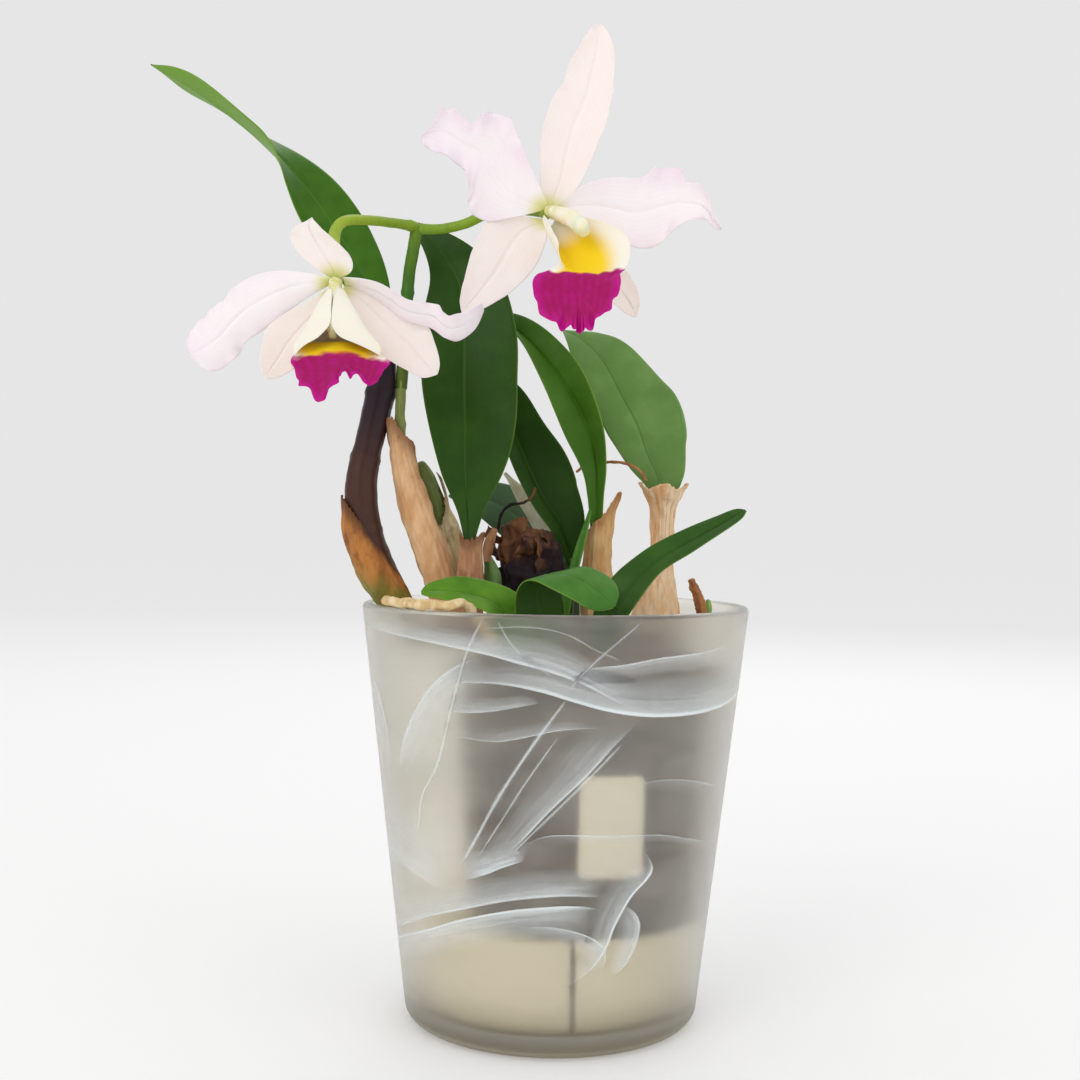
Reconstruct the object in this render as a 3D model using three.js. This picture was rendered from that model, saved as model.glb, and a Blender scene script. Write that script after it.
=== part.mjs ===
// Potted orchid: a two-flowered orchid with creeping growth, in a nursery pot that stands on
// foam blocks inside a tapered frosted glass pot. Millimetres, +Z up, the front faces -Y.
// The origin is the centre of the glass pot's flat underside.
import * as THREE from "three";

// ---- Driving dimensions: the pots and what fills them ----
const glassHeight = 150;
const glassRimRadius = 70;
const glassBaseRadius = 52.5;
const glassWall = 3.5;
const glassFloor = 7;
const footRound = 6; // outside round between the underside and the wall
const floorRound = 3; // inside round between the floor and the wall
const riserHeight = 31; // foam blocks that lift the nursery pot
const riserSeam = 1.5; // open joint between the two blocks
const riserSeamX = 7;
const nurseryHeight = 89;
const nurseryRimRadius = 48;
const nurseryBaseRadius = 41.5;
const nurseryWall = 1.2;
const nurseryBead = 1.4; // how far the rolled rim stands out from the wall
const labelWidth = 22;
const labelHeight = 35;
const labelSill = 21; // label's lower edge above the nursery pot's underside
const labelTurn = 10; // degrees round from the front, towards +X
const labelThickness = 0.5;

// ---- Driving dimensions: the plant ----
const crownDepth = 12; // from the glass rim down to the plant's zero level
const growthLevel = 3.1; // top of the rhizomes above that level, where the bulbs start
const rhizomeRadius = 3.1;
const rhizomeTipStep = 1; // a rhizome's two ends are this much thinner
const plantReach = 63; // farthest the plant reaches sideways at the level of the glass rim
const rimClearance = 3.5; // between that reach and the inside of the glass at its rim
const leafThickness = 1.2;
const petalThickness = 0.7;
const sheathThickness = 0.5;
const stalkRadius = 1.8;
const columnRadius = 2.3;
const wiryRadius = 0.6;
const aerialRootRadius = 1.6;

// ---- Clearances ----
const touchGap = 0.35; // between pieces that rest on or grow against each other
const fitGap = 0.6; // between the nursery pot or the blocks and the glass
const moundDrop = 5.5; // the bark falls this much from the rhizome's bed to the nursery rim

// ---- Facets ----
const roundFacets = 44;
const stemFacets = 8;

const wallLean = (glassRimRadius - glassBaseRadius) / glassHeight;
const glassOuterRadius = (z) => glassBaseRadius + wallLean * z;
const glassInnerRadius = (z) => glassOuterRadius(z) - glassWall;
const riserTop = glassFloor + touchGap + riserHeight;
const nurseryFloorZ = riserTop + touchGap;
const nurseryRimZ = nurseryFloorZ + nurseryHeight;
// The nursery pot stands off centre, until its base or its rim is fitGap from the glass.
const nurseryOffset =
  Math.min(
    glassInnerRadius(nurseryFloorZ) - nurseryBaseRadius,
    glassInnerRadius(nurseryRimZ) - nurseryRimRadius - nurseryBead
  ) - fitGap;
const nurseryLean = (nurseryRimRadius - nurseryBaseRadius) / nurseryHeight;
const crownZ = glassHeight - crownDepth;
const plantScale = (glassRimRadius - glassWall - rimClearance) / plantReach;
const moundTop = crownZ + (growthLevel - 2 * rhizomeRadius) * plantScale - touchGap;

// ---- Materials ----
const finish = (color, roughness, extra = {}) =>
  new THREE.MeshStandardMaterial({ color, roughness, metalness: 0, side: THREE.DoubleSide, ...extra });
const material = {
  frostedGlass: finish(0xb4b2a8, 0.5, { transparent: true, opacity: 0.45 }),
  nurseryPlastic: finish(0x6f6a66, 0.6),
  foam: finish(0xd8ccaa, 0.9),
  label: finish(0xd9ceb6, 0.7),
  bark: finish(0x6b4a30, 0.95),
  darkBulb: finish(0x3a1c26, 0.45),
  greenBulb: finish(0x6d8a3c, 0.5),
  paperySheath: finish(0xc49a6c, 0.85),
  orangeSheath: finish(0xb5652b, 0.7),
  darkLeaf: finish(0x2f5a1c, 0.4),
  freshLeaf: finish(0x5f9a34, 0.4),
  paleLeaf: finish(0x7fa266, 0.45),
  stalk: finish(0x7d9a3a, 0.45),
  blush: finish(0xf1e4ea, 0.6),
  lip: finish(0xa30d77, 0.5),
  column: finish(0xf2eed8, 0.5),
  root: finish(0xd8be8c, 0.7),
  deadWood: finish(0x4a3026, 0.95),
};

// ---- Helpers ----
const vec = (row) => new THREE.Vector3(row[0], row[1], row[2]);
const radians = THREE.MathUtils.degToRad;

// A smooth curve through rows of numbers: it carries every column of a row, not only the point.
function blend(rows, t) {
  const place = Math.min(Math.max(t, 0), 1) * (rows.length - 1);
  const i = Math.min(Math.floor(place), rows.length - 2);
  const f = place - i;
  const [a, b, c, d] = [i - 1, i, i + 1, i + 2].map(
    (k) => rows[Math.min(Math.max(k, 0), rows.length - 1)]
  );
  return b.map((_, n) => {
    const slope = c[n] - a[n];
    const bend = 2 * a[n] - 5 * b[n] + 4 * c[n] - d[n];
    const turn = 3 * b[n] - a[n] - 3 * c[n] + d[n];
    return b[n] + 0.5 * f * (slope + f * (bend + f * turn));
  });
}

function tangentAt(rows, t) {
  const step = 0.01;
  return vec(blend(rows, t + step)).sub(vec(blend(rows, t - step))).normalize();
}

// The part of a vector that is square to the tangent.
const squareTo = (direction, tangent) =>
  direction.clone().addScaledVector(tangent, -direction.dot(tangent)).normalize();

function solidFrom(points, triangles) {
  const geometry = new THREE.BufferGeometry().setFromPoints(points);
  geometry.setIndex(triangles.flat());
  geometry.computeVertexNormals();
  return geometry;
}

// A closed sheet of even thickness around a grid of points; its upper side is the one that
// looks along (across direction) x (along direction).
function closedSheet(grid, thickness) {
  const rows = grid.length;
  const columns = grid[0].length;
  const at = (i, j) =>
    grid[Math.min(Math.max(i, 0), rows - 1)][Math.min(Math.max(j, 0), columns - 1)];
  const upper = [];
  const lower = [];
  for (let i = 0; i < rows; i++) {
    for (let j = 0; j < columns; j++) {
      const across = at(i, j + 1).clone().sub(at(i, j - 1));
      const ahead = at(i + 1, j).clone().sub(at(i - 1, j));
      const normal = across.cross(ahead).normalize();
      upper.push(at(i, j).clone().addScaledVector(normal, thickness / 2));
      lower.push(at(i, j).clone().addScaledVector(normal, -thickness / 2));
    }
  }
  const count = rows * columns;
  const index = (i, j) => i * columns + j;
  const triangles = [];
  for (let i = 0; i + 1 < rows; i++) {
    for (let j = 0; j + 1 < columns; j++) {
      const [a, b, c, d] = [index(i, j), index(i, j + 1), index(i + 1, j + 1), index(i + 1, j)];
      triangles.push([a, b, c], [a, c, d]);
      triangles.push([a + count, c + count, b + count], [a + count, d + count, c + count]);
    }
  }
  const rim = [];
  for (let j = 0; j < columns - 1; j++) rim.push(index(0, j));
  for (let i = 0; i < rows - 1; i++) rim.push(index(i, columns - 1));
  for (let j = columns - 1; j > 0; j--) rim.push(index(rows - 1, j));
  for (let i = rows - 1; i > 0; i--) rim.push(index(i, 0));
  rim.forEach((here, k) => {
    const next = rim[(k + 1) % rim.length];
    triangles.push([here, here + count, next + count], [here, next + count, next]);
  });
  return solidFrom([...upper, ...lower], triangles);
}

// A leaf, sepal, petal or lip. A row is [x, y, z, half width left, half width right, curl]:
// curl is the angle in degrees that the width bends through, edges towards the upper side.
// faces are directions that the upper side looks in, spread evenly from base to tip, and
// fold lifts both halves from the midrib like an open book.
function blade({ rows, faces, fold = 0, thickness = leafThickness, steps = 10, across = 4 }) {
  const grid = [];
  for (let i = 0; i <= steps; i++) {
    const t = i / steps;
    const row = blend(rows, t);
    const tangent = tangentAt(rows, t);
    const up = squareTo(vec(blend(faces, t)), tangent);
    const side = tangent.clone().cross(up);
    const line = [];
    for (let j = 0; j <= across; j++) {
      const q = (2 * j) / across - 1;
      const width = Math.max(q < 0 ? row[3] : row[4], 0.4) * Math.abs(q);
      const bend = radians(row[5] || 0) / 2;
      const angle = bend * Math.abs(q);
      const flat = Math.abs(bend) < 0.01;
      const reach = flat ? width : (width * Math.sin(angle)) / angle || 0;
      const lift = flat ? 0 : (width * (1 - Math.cos(angle))) / angle || 0;
      line.push(
        vec(row)
          .addScaledVector(side, Math.sign(q) * reach)
          .addScaledVector(up, lift + fold * width)
      );
    }
    grid.push(line);
  }
  return closedSheet(grid, thickness);
}

// Ring frame of an upright stem: angle 0 looks to the front, 90 to the right.
function ringPoint(rows, t, degrees, extra = 0) {
  const row = blend(rows, t);
  const tangent = tangentAt(rows, t);
  const front = squareTo(new THREE.Vector3(0, -1, 0), tangent);
  const right = tangent.clone().cross(front);
  const radius = Math.max(row[3], 0.3) + extra;
  return vec(row)
    .addScaledVector(front, radius * Math.cos(radians(degrees)))
    .addScaledVector(right, radius * Math.sin(radians(degrees)));
}

// A stem, bulb or swollen root of changing radius: a row is [x, y, z, radius].
function stem(rows, steps = 8, facets = stemFacets) {
  const points = [];
  for (let i = 0; i <= steps; i++) {
    for (let j = 0; j < facets; j++) points.push(ringPoint(rows, i / steps, (360 * j) / facets));
  }
  const triangles = [];
  for (let i = 0; i < steps; i++) {
    for (let j = 0; j < facets; j++) {
      const k = (j + 1) % facets;
      const [a, b] = [i * facets + j, i * facets + k];
      triangles.push([a, b, b + facets], [a, b + facets, a + facets]);
    }
  }
  const last = steps * facets;
  for (let j = 1; j + 1 < facets; j++) {
    triangles.push([0, j + 1, j], [last, last + j, last + j + 1]);
  }
  return solidFrom(points, triangles);
}

// A papery sheath round a stem: a row is [x, y, z, inner radius]. It runs round between two
// angles, and tops says how far up the rows each part of its upper edge comes, in order.
function sheath({ rows, from, to, tops, steps = 6, around = 9, thickness = sheathThickness }) {
  const grid = [];
  for (let i = 0; i <= steps; i++) {
    const line = [];
    for (let j = 0; j <= around; j++) {
      const [top] = blend(tops.map((value) => [value]), j / around);
      line.push(ringPoint(rows, (i / steps) * top, from + ((to - from) * j) / around, thickness / 2));
    }
    grid.push(line);
  }
  return closedSheet(grid, thickness);
}

// A round cord of even radius along a smooth curve.
function cord(points, radius, steps, facets = 6) {
  const circle = new THREE.Shape();
  for (let k = 0; k < facets; k++) {
    const angle = (2 * Math.PI * k) / facets;
    const method = k ? "lineTo" : "moveTo";
    circle[method](radius * Math.cos(angle), radius * Math.sin(angle));
  }
  circle.closePath();
  const path = new THREE.CatmullRomCurve3(points.map(vec));
  return new THREE.ExtrudeGeometry(circle, { steps, extrudePath: path });
}

// Points of an arc in the (radius, height) plane, angles in degrees.
function arc(radius, height, size, from, to, steps) {
  return Array.from({ length: steps + 1 }, (_, k) => {
    const angle = radians(from + ((to - from) * k) / steps);
    return [radius + size * Math.cos(angle), height + size * Math.sin(angle)];
  });
}

// A profile of [radius, height] points, turned round the Z axis.
function turned(profile, facets = roundFacets) {
  const points = profile.map(([radius, height]) => new THREE.Vector2(radius, height));
  return new THREE.LatheGeometry(points, facets).rotateX(Math.PI / 2);
}

const model = new THREE.Group();
const plant = new THREE.Group();
plant.position.z = crownZ;
plant.scale.setScalar(plantScale);
model.add(plant);

function add(parent, name, geometry, look) {
  const mesh = new THREE.Mesh(geometry, look);
  mesh.name = name;
  parent.add(mesh);
  return mesh;
}

// ---- Pots ----
function glassPot() {
  const lean = THREE.MathUtils.radToDeg(Math.atan(wallLean));
  const lip = glassWall / 2;
  // A circle that touches a level line and the leaning wall has its centre this far out.
  const cornerCentre = (wallRadius, level, size) =>
    wallRadius(level + size) - size / Math.cos(radians(lean));
  const foot = cornerCentre(glassOuterRadius, 0, footRound);
  const corner = cornerCentre(glassInnerRadius, glassFloor, floorRound);
  return turned([
    [0, 0],
    ...arc(foot, footRound, footRound, -90, -lean, 4),
    ...arc(glassRimRadius - lip, glassHeight - lip, lip, 0, 180, 5),
    ...arc(corner, glassFloor + floorRound, floorRound, -lean, -90, 2),
    [0, glassFloor],
  ]);
}

function nurseryPot() {
  const inside = nurseryRimRadius - nurseryWall;
  return turned([
    [0, 0],
    [nurseryBaseRadius - 1, 0],
    [nurseryBaseRadius, 1],
    [nurseryRimRadius - nurseryBead, nurseryHeight - 6],
    [nurseryRimRadius + nurseryBead, nurseryHeight - 5],
    [nurseryRimRadius + nurseryBead, nurseryHeight],
    [inside, nurseryHeight],
    [nurseryBaseRadius - nurseryWall, nurseryWall],
    [0, nurseryWall],
  ]);
}

// Half of a round foam block: what lies on one side of the seam.
function riserHalf(side) {
  const radius = glassInnerRadius(glassFloor) - floorRound - fitGap;
  const edge = riserSeamX + (side * riserSeam) / 2;
  const half = Math.acos(edge / radius);
  const outline = new THREE.Shape();
  if (side > 0) outline.absarc(0, 0, radius, -half, half, false);
  else outline.absarc(0, 0, radius, half, 2 * Math.PI - half, false);
  outline.closePath();
  return new THREE.ExtrudeGeometry(outline, {
    depth: riserHeight,
    bevelEnabled: false,
    curveSegments: roundFacets / 2,
  });
}

function potLabel() {
  const wide = THREE.MathUtils.radToDeg(labelWidth / nurseryBaseRadius);
  const grid = [0, 1].map((i) => {
    const height = labelSill + i * labelHeight;
    const radius = nurseryBaseRadius + nurseryLean * height + touchGap + labelThickness / 2;
    return Array.from({ length: 7 }, (_, j) => {
      const angle = radians(labelTurn - 90 + wide * (j / 6 - 0.5));
      return new THREE.Vector3(radius * Math.cos(angle), radius * Math.sin(angle), height);
    });
  });
  return closedSheet(grid, labelThickness);
}

// The bark fills the nursery pot and heaps up under the rhizome.
function barkMix() {
  const bed = moundTop - nurseryFloorZ;
  const insideAt = (height) => nurseryBaseRadius - nurseryWall + nurseryLean * height - 2 * touchGap;
  const low = nurseryWall + touchGap;
  const edge = nurseryHeight - 4;
  return turned(
    [
      [0, low],
      [insideAt(low) - 1, low],
      [insideAt(edge) - nurseryBead, edge],
      [insideAt(edge) - 6, Math.max(bed - moundDrop, edge + 1)],
      [nurseryBaseRadius - 8, bed],
      [0, bed],
    ],
    28
  );
}

add(model, "glass_pot", glassPot(), material.frostedGlass);
const risers = { left: -1, right: 1 };
for (const [name, side] of Object.entries(risers)) {
  const block = add(model, `foam_riser_${name}`, riserHalf(side), material.foam);
  block.position.z = glassFloor + touchGap;
}
const nursery = new THREE.Group();
nursery.position.set(nurseryOffset, 0, nurseryFloorZ);
model.add(nursery);
add(nursery, "nursery_pot", nurseryPot(), material.nurseryPlastic);
add(nursery, "plant_label", potLabel(), material.label);
add(nursery, "bark_mix", barkMix(), material.bark);

// ---- Rhizomes: creeping stems that lie on the bark and carry the bulbs ----
function rhizome(points) {
  const isEnd = (k) => k === 0 || k === points.length - 1;
  return stem(
    points.map(([x, y], k) => [
      x, y, growthLevel - rhizomeRadius, rhizomeRadius - (isEnd(k) ? rhizomeTipStep : 0),
    ]),
    stemFacets
  );
}
add(plant, "rhizome_front", rhizome([[-56, -4], [-46, -5], [-37, -6], [-30, -12],
  [-20, -10]]), material.bark);
add(plant, "rhizome_back", rhizome([[-33, 8], [-18, 7], [-7, 5], [5, 9], [16, 6], [38, 8],
  [55, 13]]), material.bark);

// ---- Bulbs, each with the sheath that wraps it ----
const bulbDark = [
  [-52.5, -4, 4.2, 3.2], [-57, -6, 12, 5.2], [-64, -8, 23, 6.4], [-69, -9, 36, 6.4], [-70.5, -9, 48, 5.9],
  [-70.3, -8, 58, 5.6], [-68.5, -6, 68, 5.1], [-66.3, -4, 79, 5.1], [-64.3, -2, 90, 5.2],
  [-62, 0, 102, 2.4],
];
add(plant, "bulb_dark", stem(bulbDark, 12), material.darkBulb);
add(plant, "sheath_dark", sheath({
  rows: bulbDark.map(([x, y, z, r]) => [x, y, z, r + 0.7]),
  from: -150, to: 60, tops: [0.34, 0.46, 0.44, 0.36, 0.2], steps: 7,
}), material.orangeSheath);

const bulbFlowering = [
  [-37.5, -6, 4, 3.2], [-41, -7, 17, 4.3], [-45, -8, 30, 4.7], [-49, -8, 40, 4.5], [-52, -8, 49, 4.2],
  [-54.5, -7, 57, 3.4], [-56.3, -6, 65, 2.6], [-57.3, -4.5, 74, 2.0], [-57.3, -3, 85, 1.9],
  [-57, -2, 94, 1.9],
];
add(plant, "bulb_flowering", stem(bulbFlowering, 12), material.greenBulb);
add(plant, "sheath_flowering", sheath({
  rows: [
    [-37.5, -6, 4.6, 4.0], [-41, -7, 17, 5.2], [-45, -8, 30, 5.6], [-49, -8, 40, 5.4], [-52, -8, 49, 5.1],
    [-54.5, -7, 57, 4.5], [-56.4, -6, 65, 3.7], [-57.4, -5, 72, 3.1], [-58, -4.3, 78.5, 2.9],
  ],
  from: -170, to: 160, tops: [0.8, 0.97, 1, 0.86, 0.77, 0.78], steps: 9, around: 10,
}), material.paperySheath);

const bulbGreen = [
  [-30.5, 8, 3.5, 3.6], [-35, 7, 14, 4.8], [-38.5, 6, 27, 5.0], [-42, 6, 38, 4.6], [-45, 6, 48, 3.7],
  [-48, 6, 57, 2.7], [-51, 6, 63, 1.4],
];
add(plant, "bulb_green", stem(bulbGreen, 8), material.greenBulb);
add(plant, "sheath_green", sheath({
  rows: bulbGreen.map(([x, y, z, r]) => [x, y, z, r + 0.7]),
  from: -30, to: 100, tops: [0.5, 0.62, 0.85], steps: 6, around: 6,
}), material.paperySheath);

const bulbMain = [[-30.5, -13, 3.5, 3.0], [-31, -15, 12, 3.6], [-30.7, -16, 22, 3.3],
  [-30.7, -16, 31, 2.0]];
add(plant, "bulb_main", stem(bulbMain, 5), material.greenBulb);
add(plant, "sheath_main", sheath({
  rows: [[-30.5, -13, 4, 3.8], [-31, -15, 12, 4.4], [-30.7, -16, 22, 4.2], [-30.5, -16, 31, 3.6],
    [-30, -16, 38, 3.2]],
  from: -160, to: 150, tops: [0.86, 0.9, 0.88, 1, 0.84], steps: 6,
}), material.paperySheath);
add(plant, "sheath_curl", blade({
  rows: [[-25, -12.5, 27, 1.4, 1.4, 120], [-24.5, -13, 33, 2.6, 2.6, 160],
    [-22, -13.5, 39, 1.0, 1.0, 90]],
  faces: [[0.2, -1, 0], [0.2, -1, 0.3]], thickness: sheathThickness, steps: 5,
}), material.paperySheath);

const bulbCentre = [[-20, -7, 3.5, 3.0], [-22, -7.5, 12, 3.5], [-23, -8, 22, 3.1], [-25, -8, 29, 1.4]];
add(plant, "bulb_centre", stem(bulbCentre, 5), material.greenBulb);

const oldBulb = [
  [-8, 4, 3.6, 7.5], [-8, 4, 12, 10.5], [-8.8, 5, 21, 11.8], [-11, 6, 29, 10.5], [-14.5, 6, 35.5, 7],
  [-18, 6, 41, 2.4],
];
add(plant, "old_bulb", stem(oldBulb, 8, 10), material.deadWood);

const bulbStrap = [[3.5, 17, 3.5, 3.2], [3.5, 17, 13, 3.8], [4.5, 16, 22, 3.0], [6, 14.5, 28.5, 1.8]];
add(plant, "bulb_strap", stem(bulbStrap, 5), material.greenBulb);

const bulbArched = [[16, 6, 3.5, 4.4], [15.5, 6, 14, 5.0], [15, 6, 25, 4.4], [15, 5, 35, 3.0],
  [14.9, 4.5, 42, 2.0]];
add(plant, "bulb_arched", stem(bulbArched, 6), material.greenBulb);
add(plant, "sheath_arched", sheath({
  rows: [[16, 6, 4, 5.6], [15.5, 6, 14, 5.9], [15.2, 6, 25, 5.2], [15.6, 5, 35, 4.4],
    [16.8, 4.5, 45, 4.3], [18.5, 4, 54, 4.2]],
  from: -120, to: 190, tops: [0.55, 0.66, 0.8, 1, 0.86, 0.6], steps: 7, around: 10,
}), material.paperySheath);

const bulbRight = [
  [38, 8, 3.5, 4.6], [38, 8, 14, 5.2], [38.4, 8, 25, 4.2], [39, 8, 36, 3.0], [39.5, 8, 46, 2.4],
  [39.6, 8.4, 50, 1.8],
];
add(plant, "bulb_right", stem(bulbRight, 7), material.greenBulb);
add(plant, "sheath_right", sheath({
  rows: [
    [37, 8, 4, 8.6], [37.5, 8, 13, 7.6], [38, 8, 23, 5.4], [39, 8, 32, 3.9], [39.5, 8, 42, 3.8],
    [39.5, 7.6, 50, 4.8], [39.5, 7, 57, 7.2],
  ],
  from: -120, to: 115, tops: [0.92, 0.99, 0.93, 1, 0.94, 0.98, 0.9], steps: 9, around: 12,
}), material.paperySheath);
add(plant, "dry_stub", stem([[55, 13, 3.4, 1.7], [54, 12.6, 12, 1.8], [50.5, 12, 21, 1.2]],
  4, 6), material.deadWood);
add(plant, "shoot_tip", stem([[54.5, 19, 0.5, 1.4], [56.5, 19.6, 5, 1.8], [58, 20, 9.5, 1.6],
  [58, 20, 13, 0.6]], 4, 6), material.freshLeaf);

// ---- Leaves ----
add(plant, "leaf_tall_left", blade({
  rows: [
    [-61.7, 0, 103, 1.8, 1.8], [-70, 4, 126, 7.8, 7.8], [-79, 7, 142, 11, 11], [-88.5, 6, 156, 11, 11.5],
    [-99, 0, 168.5, 10.5, 11], [-109, -8, 178, 9.5, 9.5], [-117.5, -16, 184, 8.5, 8.5],
    [-127, -22, 190, 7, 7], [-135.5, -25, 194.5, 4.5, 4.5], [-143, -26, 198, 0.5, 0.5],
  ],
  faces: [
    [0.3, -1, 0.2], [0.3, -1, 0.25], [0.35, -0.95, 0.3], [0.4, -0.9, 0.4], [0.45, -0.6, 0.65],
    [0.5, -0.15, 0.85],
    [0.5, 0.15, 0.87], [0.47, 0.3, 0.85], [0.45, 0.35, 0.85], [0.45, 0.35, 0.85],
  ],
  fold: 0.14, steps: 16,
}), material.darkLeaf);
add(plant, "leaf_main", blade({
  rows: [
    [-31, -17, 32.5, 1.5, 1.5], [-32, -15, 45, 3.5, 6.5], [-33, -14, 59, 8.5, 14.5],
    [-33.3, -12, 74, 12.5, 18.5],
    [-34, -8, 91, 15, 19.5], [-34.5, -4, 107, 15, 19.5], [-35.5, 1, 123, 13.5, 16],
    [-40, 6, 135, 8.5, 11],
    [-47.5, 11, 145, 4.5, 5.5], [-57, 15, 153, 0.6, 0.6],
  ],
  faces: [[-0.15, -1, 0.1], [-0.1, -1, 0.15], [-0.1, -1, 0.2], [-0.25, -0.9, 0.45]],
    fold: 0.16, steps: 14,
}), material.darkLeaf);
add(plant, "leaf_arched", blade({
  rows: [
    [14.9, 4, 43, 1.6, 1.6], [14.8, 3.6, 52, 3.2, 3.2], [14.4, 2.6, 62, 4.8, 4.8],
    [11.5, 1.5, 75, 7.5, 7.2],
    [5, 1, 88, 8, 7.5], [-4, 3, 100, 7.5, 7], [-13, 7, 109.5, 6, 6], [-22, 13, 116, 4, 4],
    [-30, 20, 119.5, 0.5, 0.5],
  ],
  faces: [[-0.3, -1, 0.1], [-0.5, -0.9, 0.3], [0.2, -0.8, 0.7], [0.4, -0.4, 0.9]], fold: 0.7, steps: 12,
}), material.darkLeaf);
add(plant, "leaf_strap", blade({
  rows: [
    [6, 14, 30, 1.4, 1.4], [1.5, 13, 40, 5, 9], [-5, 12, 50, 6.5, 13], [-11, 13, 62, 7, 13.5],
    [-16.5, 15.5, 75, 6.5, 11], [-21.5, 20, 89, 4.5, 7.5], [-26, 27, 102, 0.5, 0.5],
  ],
  faces: [[0.3, -1, 0.2], [0.35, -0.9, 0.35], [0.4, -0.8, 0.5]], fold: 0.45, steps: 10,
}), material.darkLeaf);
add(plant, "leaf_light", blade({
  rows: [
    [39.6, 9, 51, 1.5, 1.5], [37.5, 10.5, 58, 5, 10], [33.5, 10.5, 67, 8.5, 15.5],
    [29.5, 10.5, 78, 11.5, 17.5],
    [24.8, 13, 87, 11.5, 16.5], [17, 19, 102, 11, 12], [10, 26.5, 110, 7.5, 7.5],
    [1.8, 33, 115.5, 0.6, 0.6],
  ],
  faces: [[-0.1, -1, 0.05], [-0.1, -1, 0.15], [0, -0.9, 0.5], [0, -0.7, 0.7]], fold: 0.12, steps: 12,
}), material.paleLeaf);
add(plant, "leaf_lance", blade({
  rows: [
    [15, -30, -1.5, 1.6, 1.6], [18, -33, 8, 4.5, 4.5], [24.5, -32, 19, 6.5, 6.5], [34, -28, 28, 6.2, 6.2],
    [46, -24, 35, 4.8, 4.8], [57, -20.5, 41, 3.4, 3.4], [66.5, -18, 46.5, 0.5, 0.5],
  ],
  faces: [[-0.6, -0.7, 0.3], [-0.4, -0.8, 0.6], [-0.3, -0.75, 0.7]], fold: 0.25, steps: 10,
}), material.darkLeaf);
add(plant, "leaf_curled", blade({
  rows: [
    [-3.5, -32, -1.5, 1.6, 1.6], [-6, -37, 10, 5.5, 5.5], [-7, -40.5, 18.5, 6.5, 6.5],
    [-4, -44.5, 23.5, 7.5, 7],
    [3, -49, 24, 8.5, 8], [9.5, -53, 21.5, 7.5, 7.5], [14.5, -56, 18, 4.8, 4.8],
    [18.5, -57.5, 14.3, 0.5, 0.5],
  ],
  faces: [[-0.3, 1, 0.1], [-0.4, 0.7, 0.6], [-0.1, -0.4, 1], [0.2, -0.8, 0.7], [0.3, -0.9, 0.4]],
  fold: -0.12, steps: 12,
}), material.freshLeaf);
add(plant, "leaf_low", blade({
  rows: [
    [-15, -32, -1.5, 1.6, 1.6], [-16.5, -38, 8, 4.5, 4.5], [-22, -42, 15, 7.2, 7.2],
    [-33, -45, 17.5, 6.2, 6.2],
    [-45.5, -46.5, 17.3, 0.5, 0.5],
  ],
  faces: [[-0.3, -0.9, 0.1], [0.2, -0.65, 0.9], [0.1, -0.6, 1]], fold: 0.15, steps: 9,
}), material.freshLeaf);
add(plant, "leaf_back", blade({
  rows: [
    [7, 27, -1.5, 1.6, 1.6], [3, 30, 20, 3, 3], [-4, 31.5, 35, 4, 4], [-12, 33, 42, 5.2, 5.2],
    [-23, 35.5, 49.5, 5.8, 5.8], [-34, 38, 51.5, 4, 4], [-42, 39, 51, 0.5, 0.5],
  ],
  faces: [[0, -1, 0.1], [0, -0.9, 0.4], [0.2, -0.8, 0.6]], fold: 0.12, steps: 10,
}), material.paleLeaf);
add(plant, "leaf_young", blade({
  rows: [[3, -3.5, 3.6, 1.6, 1.6], [4.5, -4, 14, 2, 2], [7, -3.5, 25, 1.9, 1.9],
    [9.8, -2.5, 36, 1.5, 1.5], [12.2, -2, 46, 0.5, 0.5]],
  faces: [[-0.5, -1, 0], [-0.6, -1, 0.1]], fold: 0.5, steps: 7,
}), material.freshLeaf);
add(plant, "sheath_white", blade({
  rows: [[2, 22, -1.5, 1.4, 1.4], [1.5, 23, 18, 2, 2], [-3, 24, 38, 1.6, 1.6], [-10, 25.5, 51, 1.5, 1.5],
    [-20, 28, 60, 0.5, 0.5]],
  faces: [[0, -1, 0], [0.3, -1, 0.3]], thickness: sheathThickness, steps: 7,
}), material.paperySheath);

// ---- Flower stalk and the two flower stems ----
add(plant, "flower_stalk", stem([
  [-57, -2, 94.6, stalkRadius], [-56, -0.5, 114, stalkRadius], [-55, 0, 131, stalkRadius],
  [-53, -2, 142, stalkRadius],
  [-52, -3, 148.5, stalkRadius + 0.5],
], 9), material.stalk);
add(plant, "flower_stem_left", cord([
  [-54.9, -4.5, 148], [-60, -8, 148], [-69, -16, 147.3], [-75.5, -23, 145.5], [-78.3, -27.5, 141],
  [-78.4, -29.5, 134], [-77.5, -30.5, 126.5],
], stalkRadius, 12, 8), material.stalk);
add(plant, "flower_stem_right", cord([
  [-49.2, -3, 147.3], [-44, -3, 147], [-35, -5, 148.5], [-26, -9, 151.5], [-15, -17, 151.5],
  [-6.5, -26.2, 149],
], stalkRadius, 11, 8), material.stalk);

// ---- Flowers: points are measured from the middle of each flower ----
const petal = (rows, faces, fold = 0) =>
  blade({ rows, faces, fold, thickness: petalThickness, steps: 8 });

function flower(name, centre, pieces) {
  const group = new THREE.Group();
  group.position.set(...centre);
  plant.add(group);
  for (const [piece, [geometry, look]] of Object.entries(pieces)) {
    add(group, `${name}_${piece}`, geometry, look);
  }
}

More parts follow.
